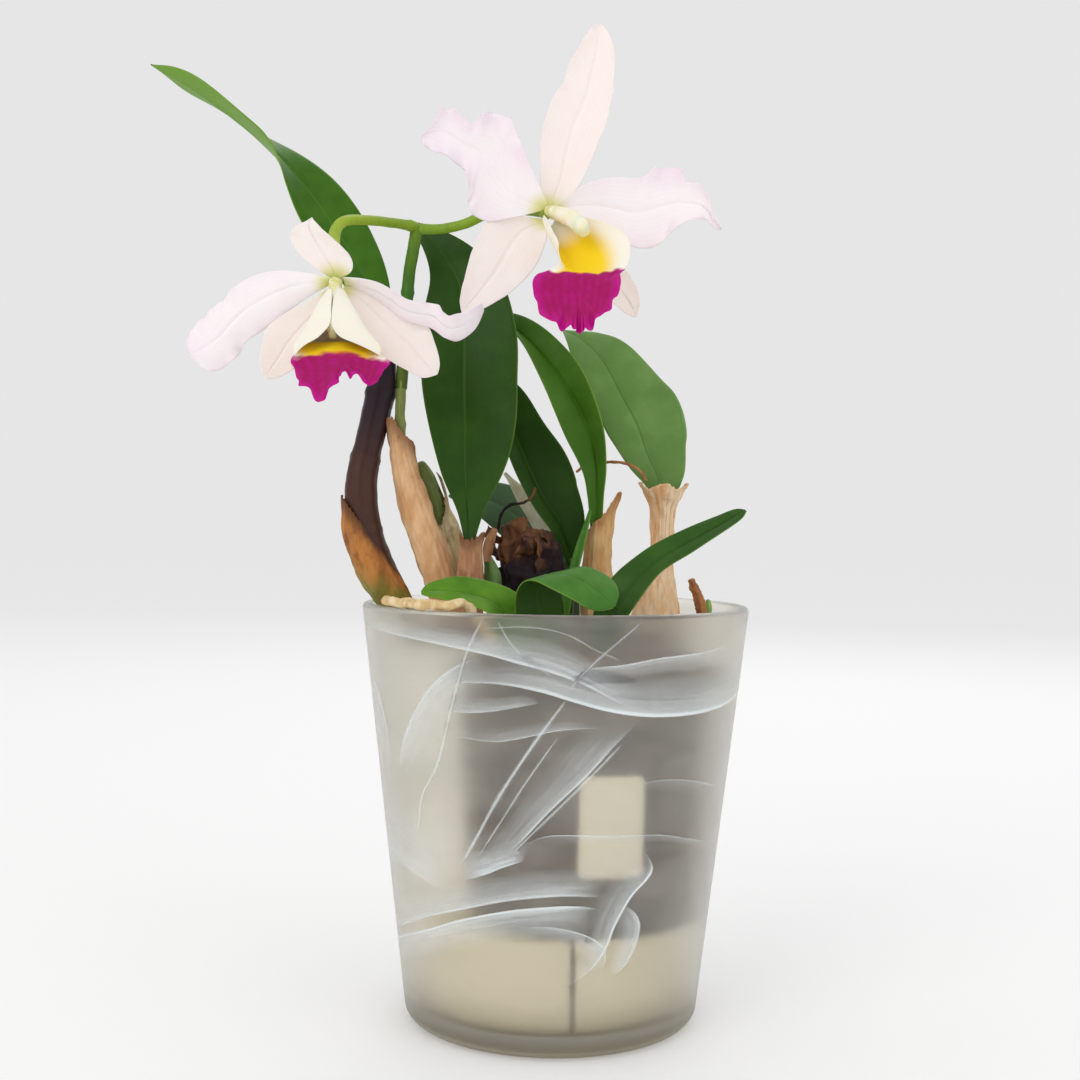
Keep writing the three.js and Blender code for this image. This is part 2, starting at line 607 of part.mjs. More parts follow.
flower("left_flower", [-77, -34, 122], {
  sepal_top: [petal(
    [[-0.4, 0.8, 4, 2, 2, 0], [-2.5, -1.5, 8, 5.2, 5.2, 30], [-6, -3.5, 13, 5.8, 5.8, 40],
      [-9, -4, 17.5, 5, 5, 40], [-9.5, -2.5, 22, 0.8, 0.8, 0]],
    [[0, -1, 0.3], [0.2, -1, -0.3]]), material.blush],
  petal_left: [petal(
    [[-3.6, -0.8, 1.6, 1.4, 1.4, 0], [-15, -3, -1, 6, 6, 20], [-25, -5, -6.5, 9.5, 9.5, 10],
      [-32, -6.5, -13, 10, 10, 0],
      [-38, -7.5, -19, 10, 10, 0], [-43.5, -7.5, -25, 8.5, 8.5, 0], [-47.5, -7, -29.5, 1.2, 1.2, 0]],
    [[0, -1, 0.3], [-0.2, -1, 0.5], [-0.2, -1, 0.6]]), material.blush],
  petal_right: [petal(
    [[4, -0.4, 1.6, 1.4, 1.4, 0], [12.5, 0, 0, 5, 5, -30], [21, 0, -5.5, 8, 8, -30],
      [29, -3, -9.5, 9.5, 9, -30],
      [38, -11, -14, 9, 8, -10], [45.5, -17, -14, 7.5, 7, 10], [51.5, -20, -9.5, 0.8, 0.8, 0]],
    [[0.2, -1, 0.4], [0.4, -0.5, 0.85], [0.4, -0.45, 0.85], [0.35, -0.55, 0.75], [0.3, -0.8, 0.5],
      [0.2, -0.9, 0.4], [0.15, -0.9, 0.4]]), material.blush],
  sepal_left: [petal(
    [[-2.6, 1, -2.4, 1.5, 1.5, 0], [-8, -2, -10.5, 6.5, 6.5, 20], [-13.5, -6, -21, 8.8, 8.8, 30],
      [-16, -10, -29.5, 6.8, 6.8, 30],
      [-17.5, -13, -36, 0.8, 0.8, 0]],
    [[0, -1, 0.2], [0.1, -1, 0.1]]), material.blush],
  sepal_right: [petal(
    [[3.2, 1.6, -2, 1.5, 1.5, 0], [12, 1, -9.5, 6.5, 6.5, 20], [20.5, -1.5, -18, 9.3, 9.3, 30],
      [28, -5, -25.5, 8, 8, 30],
      [35, -9, -34, 0.9, 0.9, 0]],
    [[0, -1, 0.2], [-0.1, -1, 0.1]]), material.blush],
  lip: [blade({
    rows: [[0.4, -1.2, -4, 2.5, 2.5, 150], [1.2, -1.5, -11, 9.5, 9.5, 230],
      [2.2, -4.5, -19, 14.5, 14.5, 220], [4, -10, -26, 16, 16, 150],
      [5.5, -18, -31.5, 15.5, 15.5, 60], [6.5, -25, -35.5, 13, 13, 10], [7, -29, -40, 5, 5, 0]],
    faces: [[0, -1, 0], [0, -1, 0.1], [0, -0.9, 0.5], [0, -0.5, 0.9], [0, -0.7, 0.7]],
    thickness: petalThickness, steps: 12, across: 8,
  }), material.lip],
  column: [stem([[0.2, -3.4, -0.5, 2.0], [0.3, -6.5, -7, columnRadius], [0.5, -9, -14, columnRadius],
    [0.6, -11, -19, 1.8]], 4), material.column],
});

flower("right_flower", [-5, -30, 148], {
  sepal_top: [petal(
    [[1.8, 1.8, 3.4, 1.6, 1.6, 0], [4.5, 1.8, 10.5, 6.3, 6.3, 20], [7, 1, 21, 9.8, 9.8, 20],
      [9.7, 2, 32, 11.2, 11.2, 20],
      [12, 4, 41, 10.6, 10.6, 25], [14.5, 6, 51, 8.6, 8.6, 25], [16.5, 8, 60, 5.8, 5.8, 20],
      [18.2, 10, 70, 0.7, 0.7, 0]],
    [[0.1, -1, 0.1], [0.1, -1, 0.15], [0.2, -1, 0.2]]), material.blush],
  petal_left: [petal(
    [[-3.2, -0.6, 2.2, 1.6, 1.6, 0], [-6.5, -2.5, 5, 8, 8, 10], [-12, -4.5, 9, 13, 12.5, 20],
      [-19.5, -6.5, 15.5, 13.5, 14.5, 10],
      [-27.5, -8, 21.5, 8.5, 10.5, -20], [-35, -9, 24.5, 6.5, 8, -30], [-41.5, -9, 24.5, 1.6, 1.6, 0]],
    [[0, -1, 0.1], [-0.1, -1, 0.1], [-0.1, -1, 0.3]]), material.blush],
  petal_right: [petal(
    [[3.8, -0.8, 1.4, 1.4, 1.4, 0], [14, -1.5, 3.5, 7, 7, 20], [25, -2, 2.5, 11, 11, 20],
      [35, -3, 2, 13, 13, 0], [45, -5, 3.5, 10.5, 10.5, -20],
      [53, -7, -1, 4.5, 4.5, 0], [58.5, -8, -7.5, 0.7, 0.7, 0]],
    [[0, -1, 0.2], [0.1, -1, 0.4], [0.2, -1, 0.2]]), material.blush],
  sepal_left: [petal(
    [[-2.4, 1, -3.4, 1.6, 1.6, 0], [-7.5, -1.5, -8, 8, 8, 20], [-14, -4.5, -16, 11.5, 11.5, 25],
      [-20, -8, -26.5, 8.6, 8.6, 25],
      [-24.5, -9, -35, 4.6, 4.6, 20], [-27.2, -9.5, -40, 0.6, 0.6, 0]],
    [[0, -1, 0.1], [-0.2, -1, 0.1]]), material.blush],
  sepal_right: [petal(
    [[2.8, 2.4, -3, 1.6, 1.6, 0], [15, 6, -12, 8, 8, 20], [24, 8, -22, 9.5, 9.5, 25],
      [29, 9.5, -29.5, 6, 6, 20], [32, 10.5, -35, 0.8, 0.8, 0]],
    [[0, -1, 0.1], [0.2, -1, 0.1]]), material.blush],
  lip: [blade({
    rows: [[1.2, -1.4, -4.2, 2.5, 2.5, 150], [4.5, -6, -9, 8.5, 8.5, 230],
      [8, -12.5, -13.5, 14, 14, 220], [11, -20, -18, 16, 16, 150],
      [11.5, -27, -24, 16, 16, 50], [10.5, -31, -32, 14.5, 14.5, 0], [9, -32, -40, 12, 12, -10],
      [9, -31.5, -44.5, 4, 4, 0]],
    faces: [[0.2, -0.6, 0.8], [0.3, -0.5, 0.85], [0.3, -0.6, 0.7], [0.1, -0.9, 0.4], [0, -1, 0.1],
      [0, -1, 0]],
    thickness: petalThickness, steps: 13, across: 8,
  }), material.lip],
  column: [stem([[0.8, -3, 0, 2.0], [4, -8, -2, columnRadius], [7.2, -13, -4.5, columnRadius],
    [9, -16.5, -6.5, 1.8]], 4), material.column],
});

// ---- Roots and dry tendrils ----
add(plant, "tendril_left", cord([[-21.5, 1.5, 38], [-20.3, 1, 44], [-17, 0, 47.5], [-12, -1, 48.5],
  [-9, -1, 51], [-8, -1, 54]], wiryRadius, 9), material.deadWood);
add(plant, "tendril_right", cord([[33, 3, 57], [30, 3, 61], [25, 2, 63.5], [20.5, 0, 63.5]],
  wiryRadius, 6), material.deadWood);

// The aerial root climbs out of the bark, bends over the glass rim and lies along it.
function aerialRoot() {
  const lie = glassHeight + aerialRootRadius + touchGap;
  const middle = glassRimRadius - glassWall / 2;
  const onRim = (degrees) => {
    const angle = radians(degrees);
    return [middle * Math.cos(angle), middle * Math.sin(angle), lie];
  };
  return cord(
    [
      [-0.3 * middle, -0.6 * middle, moundTop + aerialRootRadius + 2],
      [-0.38 * middle, -0.72 * middle, glassHeight - 4],
      [-0.44 * middle, -0.83 * middle, lie + 0.4],
      ...[239, 232, 226, 220, 214, 210].map(onRim),
    ],
    aerialRootRadius, 20, 8
  );
}
add(model, "aerial_root", aerialRoot(), material.root);

export default model;
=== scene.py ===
import math
import bmesh
import bpy
import numpy as np
from mathutils import Matrix, Vector


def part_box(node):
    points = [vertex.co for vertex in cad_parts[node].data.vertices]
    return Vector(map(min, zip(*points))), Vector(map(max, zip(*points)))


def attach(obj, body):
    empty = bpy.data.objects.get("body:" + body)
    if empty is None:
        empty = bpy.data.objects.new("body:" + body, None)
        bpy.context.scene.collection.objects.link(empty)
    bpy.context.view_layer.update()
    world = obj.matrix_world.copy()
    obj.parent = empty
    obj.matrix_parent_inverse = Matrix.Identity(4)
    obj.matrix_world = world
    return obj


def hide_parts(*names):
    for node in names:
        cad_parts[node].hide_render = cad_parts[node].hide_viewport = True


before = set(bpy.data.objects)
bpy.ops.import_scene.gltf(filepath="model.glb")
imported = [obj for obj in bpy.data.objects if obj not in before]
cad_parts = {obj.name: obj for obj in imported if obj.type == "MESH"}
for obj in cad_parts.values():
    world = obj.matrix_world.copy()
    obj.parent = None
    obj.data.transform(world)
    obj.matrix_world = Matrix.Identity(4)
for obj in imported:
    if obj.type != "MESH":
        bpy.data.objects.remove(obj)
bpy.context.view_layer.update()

# Potted orchid: pots, bark, bulbs, sheaths, leaves and two flowers. Shapes are in millimetres,
# +Z up, front at -Y, and become metres when a piece is made. Heights of the plant's pieces start
# at the creeping stems, and a flower's shapes start at its own middle.
mm = 0.001
crown = sum(corner.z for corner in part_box("rhizome_front")) / 2 / mm  # height of the creeping stems


# curves and frames
def smooth(rows, t):  # a smooth curve through rows of numbers, at every t from 0 to 1
    rows = np.asarray(rows, float)
    place = np.clip(t, 0, 1) * (len(rows) - 1)
    i = np.minimum(place.astype(int), len(rows) - 2)
    f = (place - i)[..., None]
    a, b, c, d = (rows[np.clip(i + k, 0, len(rows) - 1)] for k in (-1, 0, 1, 2))
    return b + 0.5 * f * (c - a + f * (2 * a - 5 * b + 4 * c - d + f * (3 * b - a - 3 * c + d)))


def unit(v):
    return v / np.maximum(np.linalg.norm(v, axis=-1, keepdims=True), 1e-9)


def heading(rows, t):
    rows = np.asarray(rows, float)[:, :3]
    return unit(smooth(rows, t + 0.01) - smooth(rows, t - 0.01))


def squared(direction, ahead):  # the part of a direction that is square to the heading
    return unit(direction - (direction * ahead).sum(-1, keepdims=True) * ahead)


def rise(x, low, high):  # 0 below low, 1 above high, smooth between
    x = np.clip((x - low) / (high - low), 0, 1)
    return x * x * (3 - 2 * x)


def lumps(points, size, seed, octaves=3):  # soft random bumps, about -1 to 1
    random = np.random.default_rng(seed)
    total = 0
    for k in range(octaves):
        for _ in range(6):
            direction = unit(random.normal(size=3))
            phase = random.uniform(0, 2 * math.pi)
            total = total + 0.5**k * np.sin(points @ direction * (2 * math.pi / size * 2**k) + phase)
    return total / 4.5


# shapes: (points, faces, masks); a mask is one number for each point
def closedSheet(grid, thickness, masks):
    normal = unit(np.cross(np.gradient(grid, axis=1), np.gradient(grid, axis=0)))
    half = normal * np.broadcast_to(thickness, grid.shape[:2])[..., None] / 2
    points = np.concatenate([(grid + half).reshape(-1, 3), (grid - half).reshape(-1, 3)])
    count = grid.shape[0] * grid.shape[1]
    index = np.arange(count).reshape(grid.shape[:2])
    corners = (index[:-1, :-1], index[:-1, 1:], index[1:, 1:], index[1:, :-1])
    top = np.stack(corners, -1).reshape(-1, 4)
    rim = np.concatenate([index[0, :-1], index[:-1, -1], index[-1, :0:-1], index[:0:-1, 0]])
    after = np.roll(rim, -1)
    walls = np.stack([rim, rim + count, after + count, after], -1)
    faces = np.concatenate([top, top[:, ::-1] + count, walls]).tolist()
    masks = {k: np.tile(np.broadcast_to(v, grid.shape[:2]).ravel(), 2) for k, v in masks.items()}
    masks["under"] = np.repeat([0.0, 1.0], count)
    return points, faces, masks


def tube(rings, masks):  # rings of points, closed by a face at each end
    steps, around = rings.shape[:2]
    index = np.arange(steps * around).reshape(steps, around)
    beside = np.roll(index, -1, axis=1)
    faces = np.stack([index[:-1], beside[:-1], beside[1:], index[1:]], -1).reshape(-1, 4).tolist()
    faces += [index[0, ::-1].tolist(), index[-1].tolist()]
    masks = {k: np.broadcast_to(v, (steps, around)).ravel() for k, v in masks.items()}
    return rings.reshape(-1, 3), faces, masks


def joined(shapes):
    points, faces, masks = [], [], {}
    names = sorted({name for shape in shapes for name in shape[2]})
    start = 0
    for shapePoints, shapeFaces, shapeMasks in shapes:
        points.append(shapePoints)
        faces += [[k + start for k in face] for face in shapeFaces]
        for name in names:
            masks.setdefault(name, []).append(shapeMasks.get(name, np.zeros(len(shapePoints))))
        start += len(shapePoints)
    return np.concatenate(points), faces, {name: np.concatenate(parts) for name, parts in masks.items()}


def moved(shape, offset):
    return shape[0] + np.array(offset, float), shape[1], shape[2]


def ringPoint(rows, t, degrees, extra=0):  # angle 0 looks to the front, 90 to the right
    rows = np.asarray(rows, float)
    at = smooth(rows, t)
    ahead = heading(rows, t)
    front = squared(np.broadcast_to([0.0, -1, 0], ahead.shape), ahead)
    right = np.cross(ahead, front)
    radius = (np.maximum(at[..., 3], 0.3) + extra)[..., None]
    angle = np.radians(degrees)[..., None]
    return at[..., :3] + radius * (front * np.cos(angle) + right * np.sin(angle))


def stem(rows, steps=48, around=28, ribs=0, ribDepth=0, rough=0, size=8, seed=0, rings=(), ringHeight=0):
    t = np.linspace(0, 1, steps + 1)[:, None] * np.ones(around)
    angle = np.linspace(0, 360, around, endpoint=False) * np.ones((steps + 1, 1))
    cap = np.sqrt(np.clip(1 - ((np.maximum(0.04 - t, 0) + np.maximum(t - 0.96, 0)) / 0.042) ** 2, 0.02, 1))
    extra = ribDepth * np.cos(np.radians(angle) * ribs)
    for place in rings:
        extra = extra + ringHeight * np.exp(-(((t - place) / 0.012) ** 2))
    plain = ringPoint(rows, t, angle)
    if rough:
        extra = extra + rough * lumps(plain, size, seed)
    radius = np.maximum(smooth(rows, t)[..., 3], 0.3)
    extra = (radius + extra) * cap - radius
    return tube(ringPoint(rows, t, angle, extra), {"along": t, "around": angle / 360})


def sheath(rows, span, tops, steps=56, around=64, flare=0, ridge=0.25, tear=0.03, thick=0.4, seed=0,
           crumple=0.3):
    random = np.random.default_rng(seed)
    share = np.linspace(0, 1, around + 1)
    teeth = np.cumsum(random.normal(size=around + 1))
    teeth = teeth - np.linspace(teeth[0], teeth[-1], around + 1)
    teeth = teeth / max(np.abs(teeth).max(), 1) + 0.5 * random.normal(size=around + 1)
    top = smooth(np.array(tops, float)[:, None], share)[:, 0] + tear * teeth
    climb = np.linspace(0, 1, steps + 1)[:, None]
    t = climb * np.clip(top, 0, 1)
    angle = (span[0] + (span[1] - span[0]) * share) * np.ones((steps + 1, 1))
    fibres = ridge * np.sin(np.radians(angle) * 17 + 2 * climb) + 0.5 * ridge * np.sin(np.radians(angle) * 31)
    plain = ringPoint(rows, t, angle)
    extra = thick / 2 + fibres * rise(climb, 0, 0.3) + crumple * lumps(plain * [1, 1, 0.5], 7, seed + 1)
    extra = extra + flare * rise(climb, 0.72, 1) ** 2
    grid = ringPoint(rows, t, angle, extra)
    masks = {"along": climb + 0 * angle, "around": angle / 360, "edge": rise(climb + 0 * angle, 0.8, 1)}
    return closedSheet(grid, thick, masks)


def blade(rows, faces, fold=0, thick=1.2, steps=84, across=22, groove=0.35, wave=0.0, waves=3, seed=0):
    rows = np.array([list(row) + [0] * (6 - len(row)) for row in rows], float)
    t = np.linspace(0, 1, steps + 1)
    q = np.linspace(-1, 1, across + 1)
    at = smooth(rows, t)
    ahead = heading(rows, t)
    up = squared(smooth(faces, t), ahead)
    side = np.cross(ahead, up)
    width = np.maximum(np.where(q < 0, at[:, 3:4], at[:, 4:5]), 0.3) * np.abs(q)
    angle = np.radians(at[:, 5:6]) / 2 * np.abs(q) + 1e-6
    reach = width * np.sin(angle) / angle
    lift = width * (1 - np.cos(angle)) / angle + fold * width
    lift = lift - groove * np.exp(-((q / 0.09) ** 2)) * (rise(t, 0, 0.1) * rise(-t, -0.97, -0.7))[:, None]
    phase = 2 * math.pi * (waves * t[:, None] + 0.3 * np.sign(q) + 0.17 * seed)
    lift = lift + wave * q**2 * np.sin(phase) * rise(t, 0.1, 0.4)[:, None]
    grid = at[:, None, :3] + side[:, None] * (np.sign(q) * reach)[..., None] + up[:, None] * lift[..., None]
    body = thick * (0.3 + 0.7 * (1 - np.abs(q) ** 4)) * (1 - 0.6 * rise(t, 0.9, 1))[:, None]
    masks = {"along": t[:, None], "across": q + 0 * t[:, None]}
    return closedSheet(grid, body, masks)


# pieces
def makePiece(name, shape, look, node, centre=(0, 0, 0)):
    points, faces, masks = shape
    mesh = bpy.data.meshes.new(name)
    mesh.from_pydata(((points + np.array(centre, float)) * mm).tolist(), [], faces)
    for key, values in masks.items():
        mesh.attributes.new(key, "FLOAT", "POINT").data.foreach_set("value", np.asarray(values, np.float32))
    mesh.materials.append(look)
    mesh.shade_smooth()
    piece = bpy.data.objects.new(name, mesh)
    bpy.context.scene.collection.objects.link(piece)
    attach(piece, "root")
    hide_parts(node)


def plantPiece(name, shape, look, node):
    makePiece(name, shape, look, node, centre=(0, 0, crown))


# materials
class Look:  # a material with short ways to add nodes
    def __init__(self, name, **sockets):
        self.material = bpy.data.materials.new(name)
        self.material.use_nodes = True
        self.tree = self.material.node_tree
        self.shader = self.tree.nodes["Principled BSDF"]
        self.output = self.tree.nodes["Material Output"]
        for socket, value in sockets.items():
            self.shader.inputs[socket.replace("_", " ")].default_value = value

    def node(self, kind, inputs=None, **settings):
        made = self.tree.nodes.new(kind)
        for setting, value in settings.items():
            setattr(made, setting, value)
        for key, value in (inputs or {}).items():
            if isinstance(value, bpy.types.NodeSocket):
                self.tree.links.new(value, made.inputs[key])
            else:
                made.inputs[key].default_value = value
        return made

    def mask(self, name):
        return self.node("ShaderNodeAttribute", attribute_name=name).outputs["Fac"]

    def maths(self, operation, a, b=0.0):
        return self.node("ShaderNodeMath", {0: a, 1: b}, operation=operation).outputs[0]

    def scaled(self, value, factor, start):  # value times factor, plus start
        inputs = {0: value, 1: factor, 2: start}
        return self.node("ShaderNodeMath", inputs, operation="MULTIPLY_ADD").outputs[0]

    def noise(self, size, detail=4.0, rough=0.6, stretch=(1, 1, 1)):  # size in millimetres
        place = self.node("ShaderNodeTexCoord").outputs["Object"]
        mapped = self.node("ShaderNodeMapping", {"Vector": place, "Scale": stretch}).outputs[0]
        settings = {"Vector": mapped, "Scale": 1 / (size * mm), "Detail": detail, "Roughness": rough}
        return self.node("ShaderNodeTexNoise", settings).outputs["Fac"]

    def ramp(self, value, low, high):
        settings = {"Value": value, "From Min": low, "From Max": high}
        return self.node("ShaderNodeMapRange", settings, interpolation_type="SMOOTHSTEP").outputs["Result"]

    def mix(self, factor, a, b):
        made = self.node("ShaderNodeMix", data_type="RGBA")
        for key, value in ((0, factor), (6, a), (7, b)):
            if isinstance(value, bpy.types.NodeSocket):
                self.tree.links.new(value, made.inputs[key])
            else:
                made.inputs[key].default_value = value if key == 0 else (*value, 1)
        return made.outputs[2]

    def colour(self, socket):
        self.tree.links.new(socket, self.shader.inputs["Base Color"])

    def link(self, socket, name):
        self.tree.links.new(socket, self.shader.inputs[name])

    def bump(self, height, strength, distance=0.3):  # distance in millimetres
        settings = {"Height": height, "Strength": strength, "Distance": distance * mm}
        self.link(self.node("ShaderNodeBump", settings).outputs[0], "Normal")


def leafLook(name, face, shade, rib, margin, under):
    look = Look(name, Roughness=0.42, Specular_IOR_Level=0.14)
    across = look.maths("ABSOLUTE", look.mask("across"))
    blotch = look.ramp(look.noise(14, 3), 0.35, 0.7)
    surface = look.mix(blotch, face, shade)
    veins = look.maths("SINE", look.maths("MULTIPLY", look.mask("across"), 70.0))
    veins = look.ramp(veins, 0.2, 1.0)
    surface = look.mix(look.maths("MULTIPLY", veins, 0.05), surface, rib)
    surface = look.mix(look.mask("under"), surface, under)
    surface = look.mix(look.maths("MULTIPLY", look.ramp(across, 0.045, 0.01), 0.6), surface, rib)
    # Painted highlight: a thin light band along each edge, in the margin colour.
    surface = look.mix(look.maths("MULTIPLY", look.ramp(across, 0.95, 1.0), 0.45), surface, margin)
    speck = look.ramp(look.noise(2.2, 2), 0.70, 0.78)
    look.colour(look.mix(look.maths("MULTIPLY", speck, 0.25), surface, rib))
    grain = look.maths("MULTIPLY", veins, 0.12)
    look.bump(look.maths("ADD", grain, look.noise(0.9, 3)), 0.25, 0.12)
    return look.material


def sheathLook(name, pale, tan, dark, green=None, greenTop=0.35, rough=0.8, tip=0.4):
    look = Look(name, Roughness=rough, Specular_IOR_Level=0.25)
    streak = look.noise(5, 5, 0.6, (1, 1, 0.3))
    fine = look.noise(0.9, 4, 0.7, (1, 1, 0.12))
    surface = look.mix(look.ramp(streak, 0.32, 0.62), tan, pale)
    surface = look.mix(look.maths("MULTIPLY", look.ramp(fine, 0.55, 0.72), 0.22), surface, dark)
    surface = look.mix(look.maths("MULTIPLY", look.ramp(look.noise(9, 5), 0.55, 0.72), 0.55), surface, dark)
    surface = look.mix(look.maths("MULTIPLY", look.mask("edge"), tip), surface, dark)
    if green:
        low = look.maths("ADD", look.mask("along"), look.maths("MULTIPLY", streak, 0.5))
        surface = look.mix(look.ramp(low, greenTop + 0.45, greenTop + 0.1), surface, green)
    look.colour(surface)
    look.bump(look.maths("ADD", look.maths("MULTIPLY", fine, 0.5), streak), 0.45, 0.3)
    return look.material


def bulbLook(name, low, middle, high, gloss=0.45):
    look = Look(name, Roughness=gloss, Specular_IOR_Level=0.28)
    along = look.mask("along")
    mottle = look.noise(6, 5)
    place = look.maths("ADD", along, look.maths("MULTIPLY", mottle, 0.2))
    surface = look.mix(look.ramp(place, 0.2, 0.55), low, middle)
    surface = look.mix(look.ramp(place, 0.6, 0.95), surface, high)
    fibre = look.noise(1.5, 4, 0.7, (1, 1, 0.1))
    look.colour(look.mix(look.maths("MULTIPLY", look.ramp(fibre, 0.5, 0.7), 0.22), surface,
                         (0.02, 0.015, 0.01)))
    look.bump(look.maths("ADD", fibre, mottle), 0.35, 0.25)
    return look.material


def petalLook(name, face, blush, heart):
    look = Look(name, Roughness=0.55, Specular_IOR_Level=0.3, Subsurface_Weight=0.35, Sheen_Weight=0.12)
    look.shader.inputs["Subsurface Radius"].default_value = (1.0, 0.75, 0.7)
    look.shader.inputs["Subsurface Scale"].default_value = 1.5 * mm
    cloud = look.ramp(look.noise(16, 3), 0.35, 0.7)
    blushing = look.maths("MULTIPLY", look.mask("blush"), look.scaled(cloud, 0.7, 0.5))
    surface = look.mix(blushing, face, blush)
    veins = look.maths("SINE", look.maths("MULTIPLY", look.mask("across"), 46.0))
    fine = look.maths("ADD", veins, look.noise(4, 3))
    surface = look.mix(look.maths("MULTIPLY", look.ramp(fine, 0.9, 1.6), 0.16), surface, blush)
    surface = look.mix(look.mask("heart"), surface, heart)
    look.colour(surface)
    cells = look.noise(0.7, 2)
    look.bump(look.maths("ADD", look.maths("MULTIPLY", veins, 0.25), cells), 0.22, 0.15)
    return look.material


def lipLook(name, cream, throat, glow, flare, rim):
    look = Look(name, Roughness=0.5, Specular_IOR_Level=0.2, Subsurface_Weight=0.12)
    look.shader.inputs["Subsurface Radius"].default_value = (1.0, 0.4, 0.5)
    look.shader.inputs["Subsurface Scale"].default_value = 1.0 * mm
    surface = look.mix(look.mask("throat"), cream, throat)
    surface = look.mix(look.mask("glow"), surface, glow)
    veins = look.maths("SINE", look.maths("MULTIPLY", look.mask("across"), 34.0))
    stripe = look.maths("MULTIPLY", veins, 0.25)
    cloud = look.maths("MULTIPLY", look.noise(3.5, 4), 3.0)
    streak = look.ramp(look.maths("ADD", stripe, cloud), 1.2, 2.2)
    dark = look.mix(look.maths("MULTIPLY", streak, 0.45), flare, rim)
    petal = look.mix(look.mask("margin"), dark, rim)
    look.colour(look.mix(look.mask("flare"), surface, petal))
    look.bump(look.maths("ADD", look.maths("MULTIPLY", veins, 0.15), look.noise(0.8, 3)), 0.3, 0.2)
    return look.material


print("scene: camera and light")
camera = {"place": (-6, -548, 181), "pitch": -0.85, "roll": 0.8, "lens": 50, "sensor": 36}


def makeCamera():
    data = bpy.data.cameras.new("camera")
    data.lens, data.sensor_width = camera["lens"], camera["sensor"]
    data.clip_start, data.clip_end = 0.01, 100
    made = bpy.data.objects.new("camera", data)
    bpy.context.scene.collection.objects.link(made)
    turn = Matrix.Rotation(math.radians(90 + camera["pitch"]), 4, "X")
    roll = Matrix.Rotation(math.radians(camera["roll"]), 4, "Z")
    made.matrix_world = Matrix.Translation(Vector(camera["place"]) * mm) @ turn @ roll
    bpy.context.scene.camera = made


makeCamera()

studio = {
    "backdrop": (0.86, 0.86, 0.86),
    "backdropLight": 0.92,
    "floorColour": (0.8, 0.8, 0.8),
    "floorRadius": 20,
    "floorSides": 64,
    "softboxes": [  # places, aims and sizes in metres
        {"place": (-0.9, -1.1, 1.1), "aim": (0, 0, 0.2), "size": 0.9, "power": 5.5,
         "colour": (1, 0.99, 0.97)},
        {"place": (1.1, -0.9, 0.7), "aim": (0, 0, 0.18), "size": 0.9, "power": 2.2,
         "colour": (0.97, 0.98, 1)},
        {"place": (0.3, 1.2, 1.2), "aim": (0, 0, 0.2), "size": 0.9, "power": 3.5, "colour": (1, 1, 1)},
    ],
}


def makeStudio():
    scene = bpy.context.scene
    scene.view_settings.view_transform = "Standard"
    world = bpy.data.worlds.new("studio")
    world.use_nodes = True
    sky = world.node_tree.nodes["Background"]
    sky.inputs[0].default_value = (*studio["backdrop"], 1)
    sky.inputs[1].default_value = studio["backdropLight"]
    scene.world = world
    for k, box in enumerate(studio["softboxes"]):
        data = bpy.data.lights.new(f"softbox{k}", "AREA")
        data.size, data.energy, data.color = box["size"], box["power"], box["colour"]
        light = bpy.data.objects.new(f"softbox{k}", data)
        light.location = box["place"]
        light.rotation_euler = (Vector(box["place"]) - Vector(box["aim"])).to_track_quat("Z", "Y").to_euler()
        scene.collection.objects.link(light)
    # The floor glows a little, so that it is as bright as the backdrop where they meet.
    look = Look("paleFloor", Roughness=0.9, Specular_IOR_Level=0.0)
    look.shader.inputs["Base Color"].default_value = (*studio["floorColour"], 1)
    look.shader.inputs["Emission Color"].default_value = (*studio["backdrop"], 1)
    look.shader.inputs["Emission Strength"].default_value = studio["backdropLight"] * (1 - studio["floorColour"][0])
    look.material.cycles.emission_sampling = "NONE"
    radius, sides = studio["floorRadius"], studio["floorSides"]
    angles = np.linspace(0, 2 * math.pi, sides, endpoint=False)
    mesh = bpy.data.meshes.new("floor")
    ring = [(radius * math.cos(a), radius * math.sin(a), 0) for a in angles]
    mesh.from_pydata(ring, [], [list(range(sides))])
    mesh.materials.append(look.material)
    floor = bpy.data.objects.new("floor", mesh)
    scene.collection.objects.link(floor)


makeStudio()

print("scene: glass pot")
glassLow, glassHigh = (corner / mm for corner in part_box("glass_pot"))
glass = {
    "height": glassHigh.z, "rimRadius": (glassHigh.x - glassLow.x) / 2, "baseRadius": 52.5,
    "wall": 3.5, "floor": 7, "footRound": 6, "floorRound": 3, "around": 192,
    "tint": (0.95, 0.93, 0.86), "milk": (0.82, 0.78, 0.69), "foot": (0.24, 0.19, 0.08),
    "shadowTint": (0.90, 0.90, 0.87), "clearness": 0.95, "rough": 0.3,
    "veilColour": (0.78, 0.85, 0.87), "veilStrength": 0.85, "veilAlong": 96, "veilAcross": 20,
    "threadColour": (0.86, 0.92, 0.95), "silkColour": (0.90, 0.93, 0.94),
    # Veils and threads lie this far off the wall, each one a little further than the one before.
    "veilOff": 0.4, "veilStep": 0.012, "threadOff": 0.7, "threadStep": 0.01, "sheet": 0.02,
}
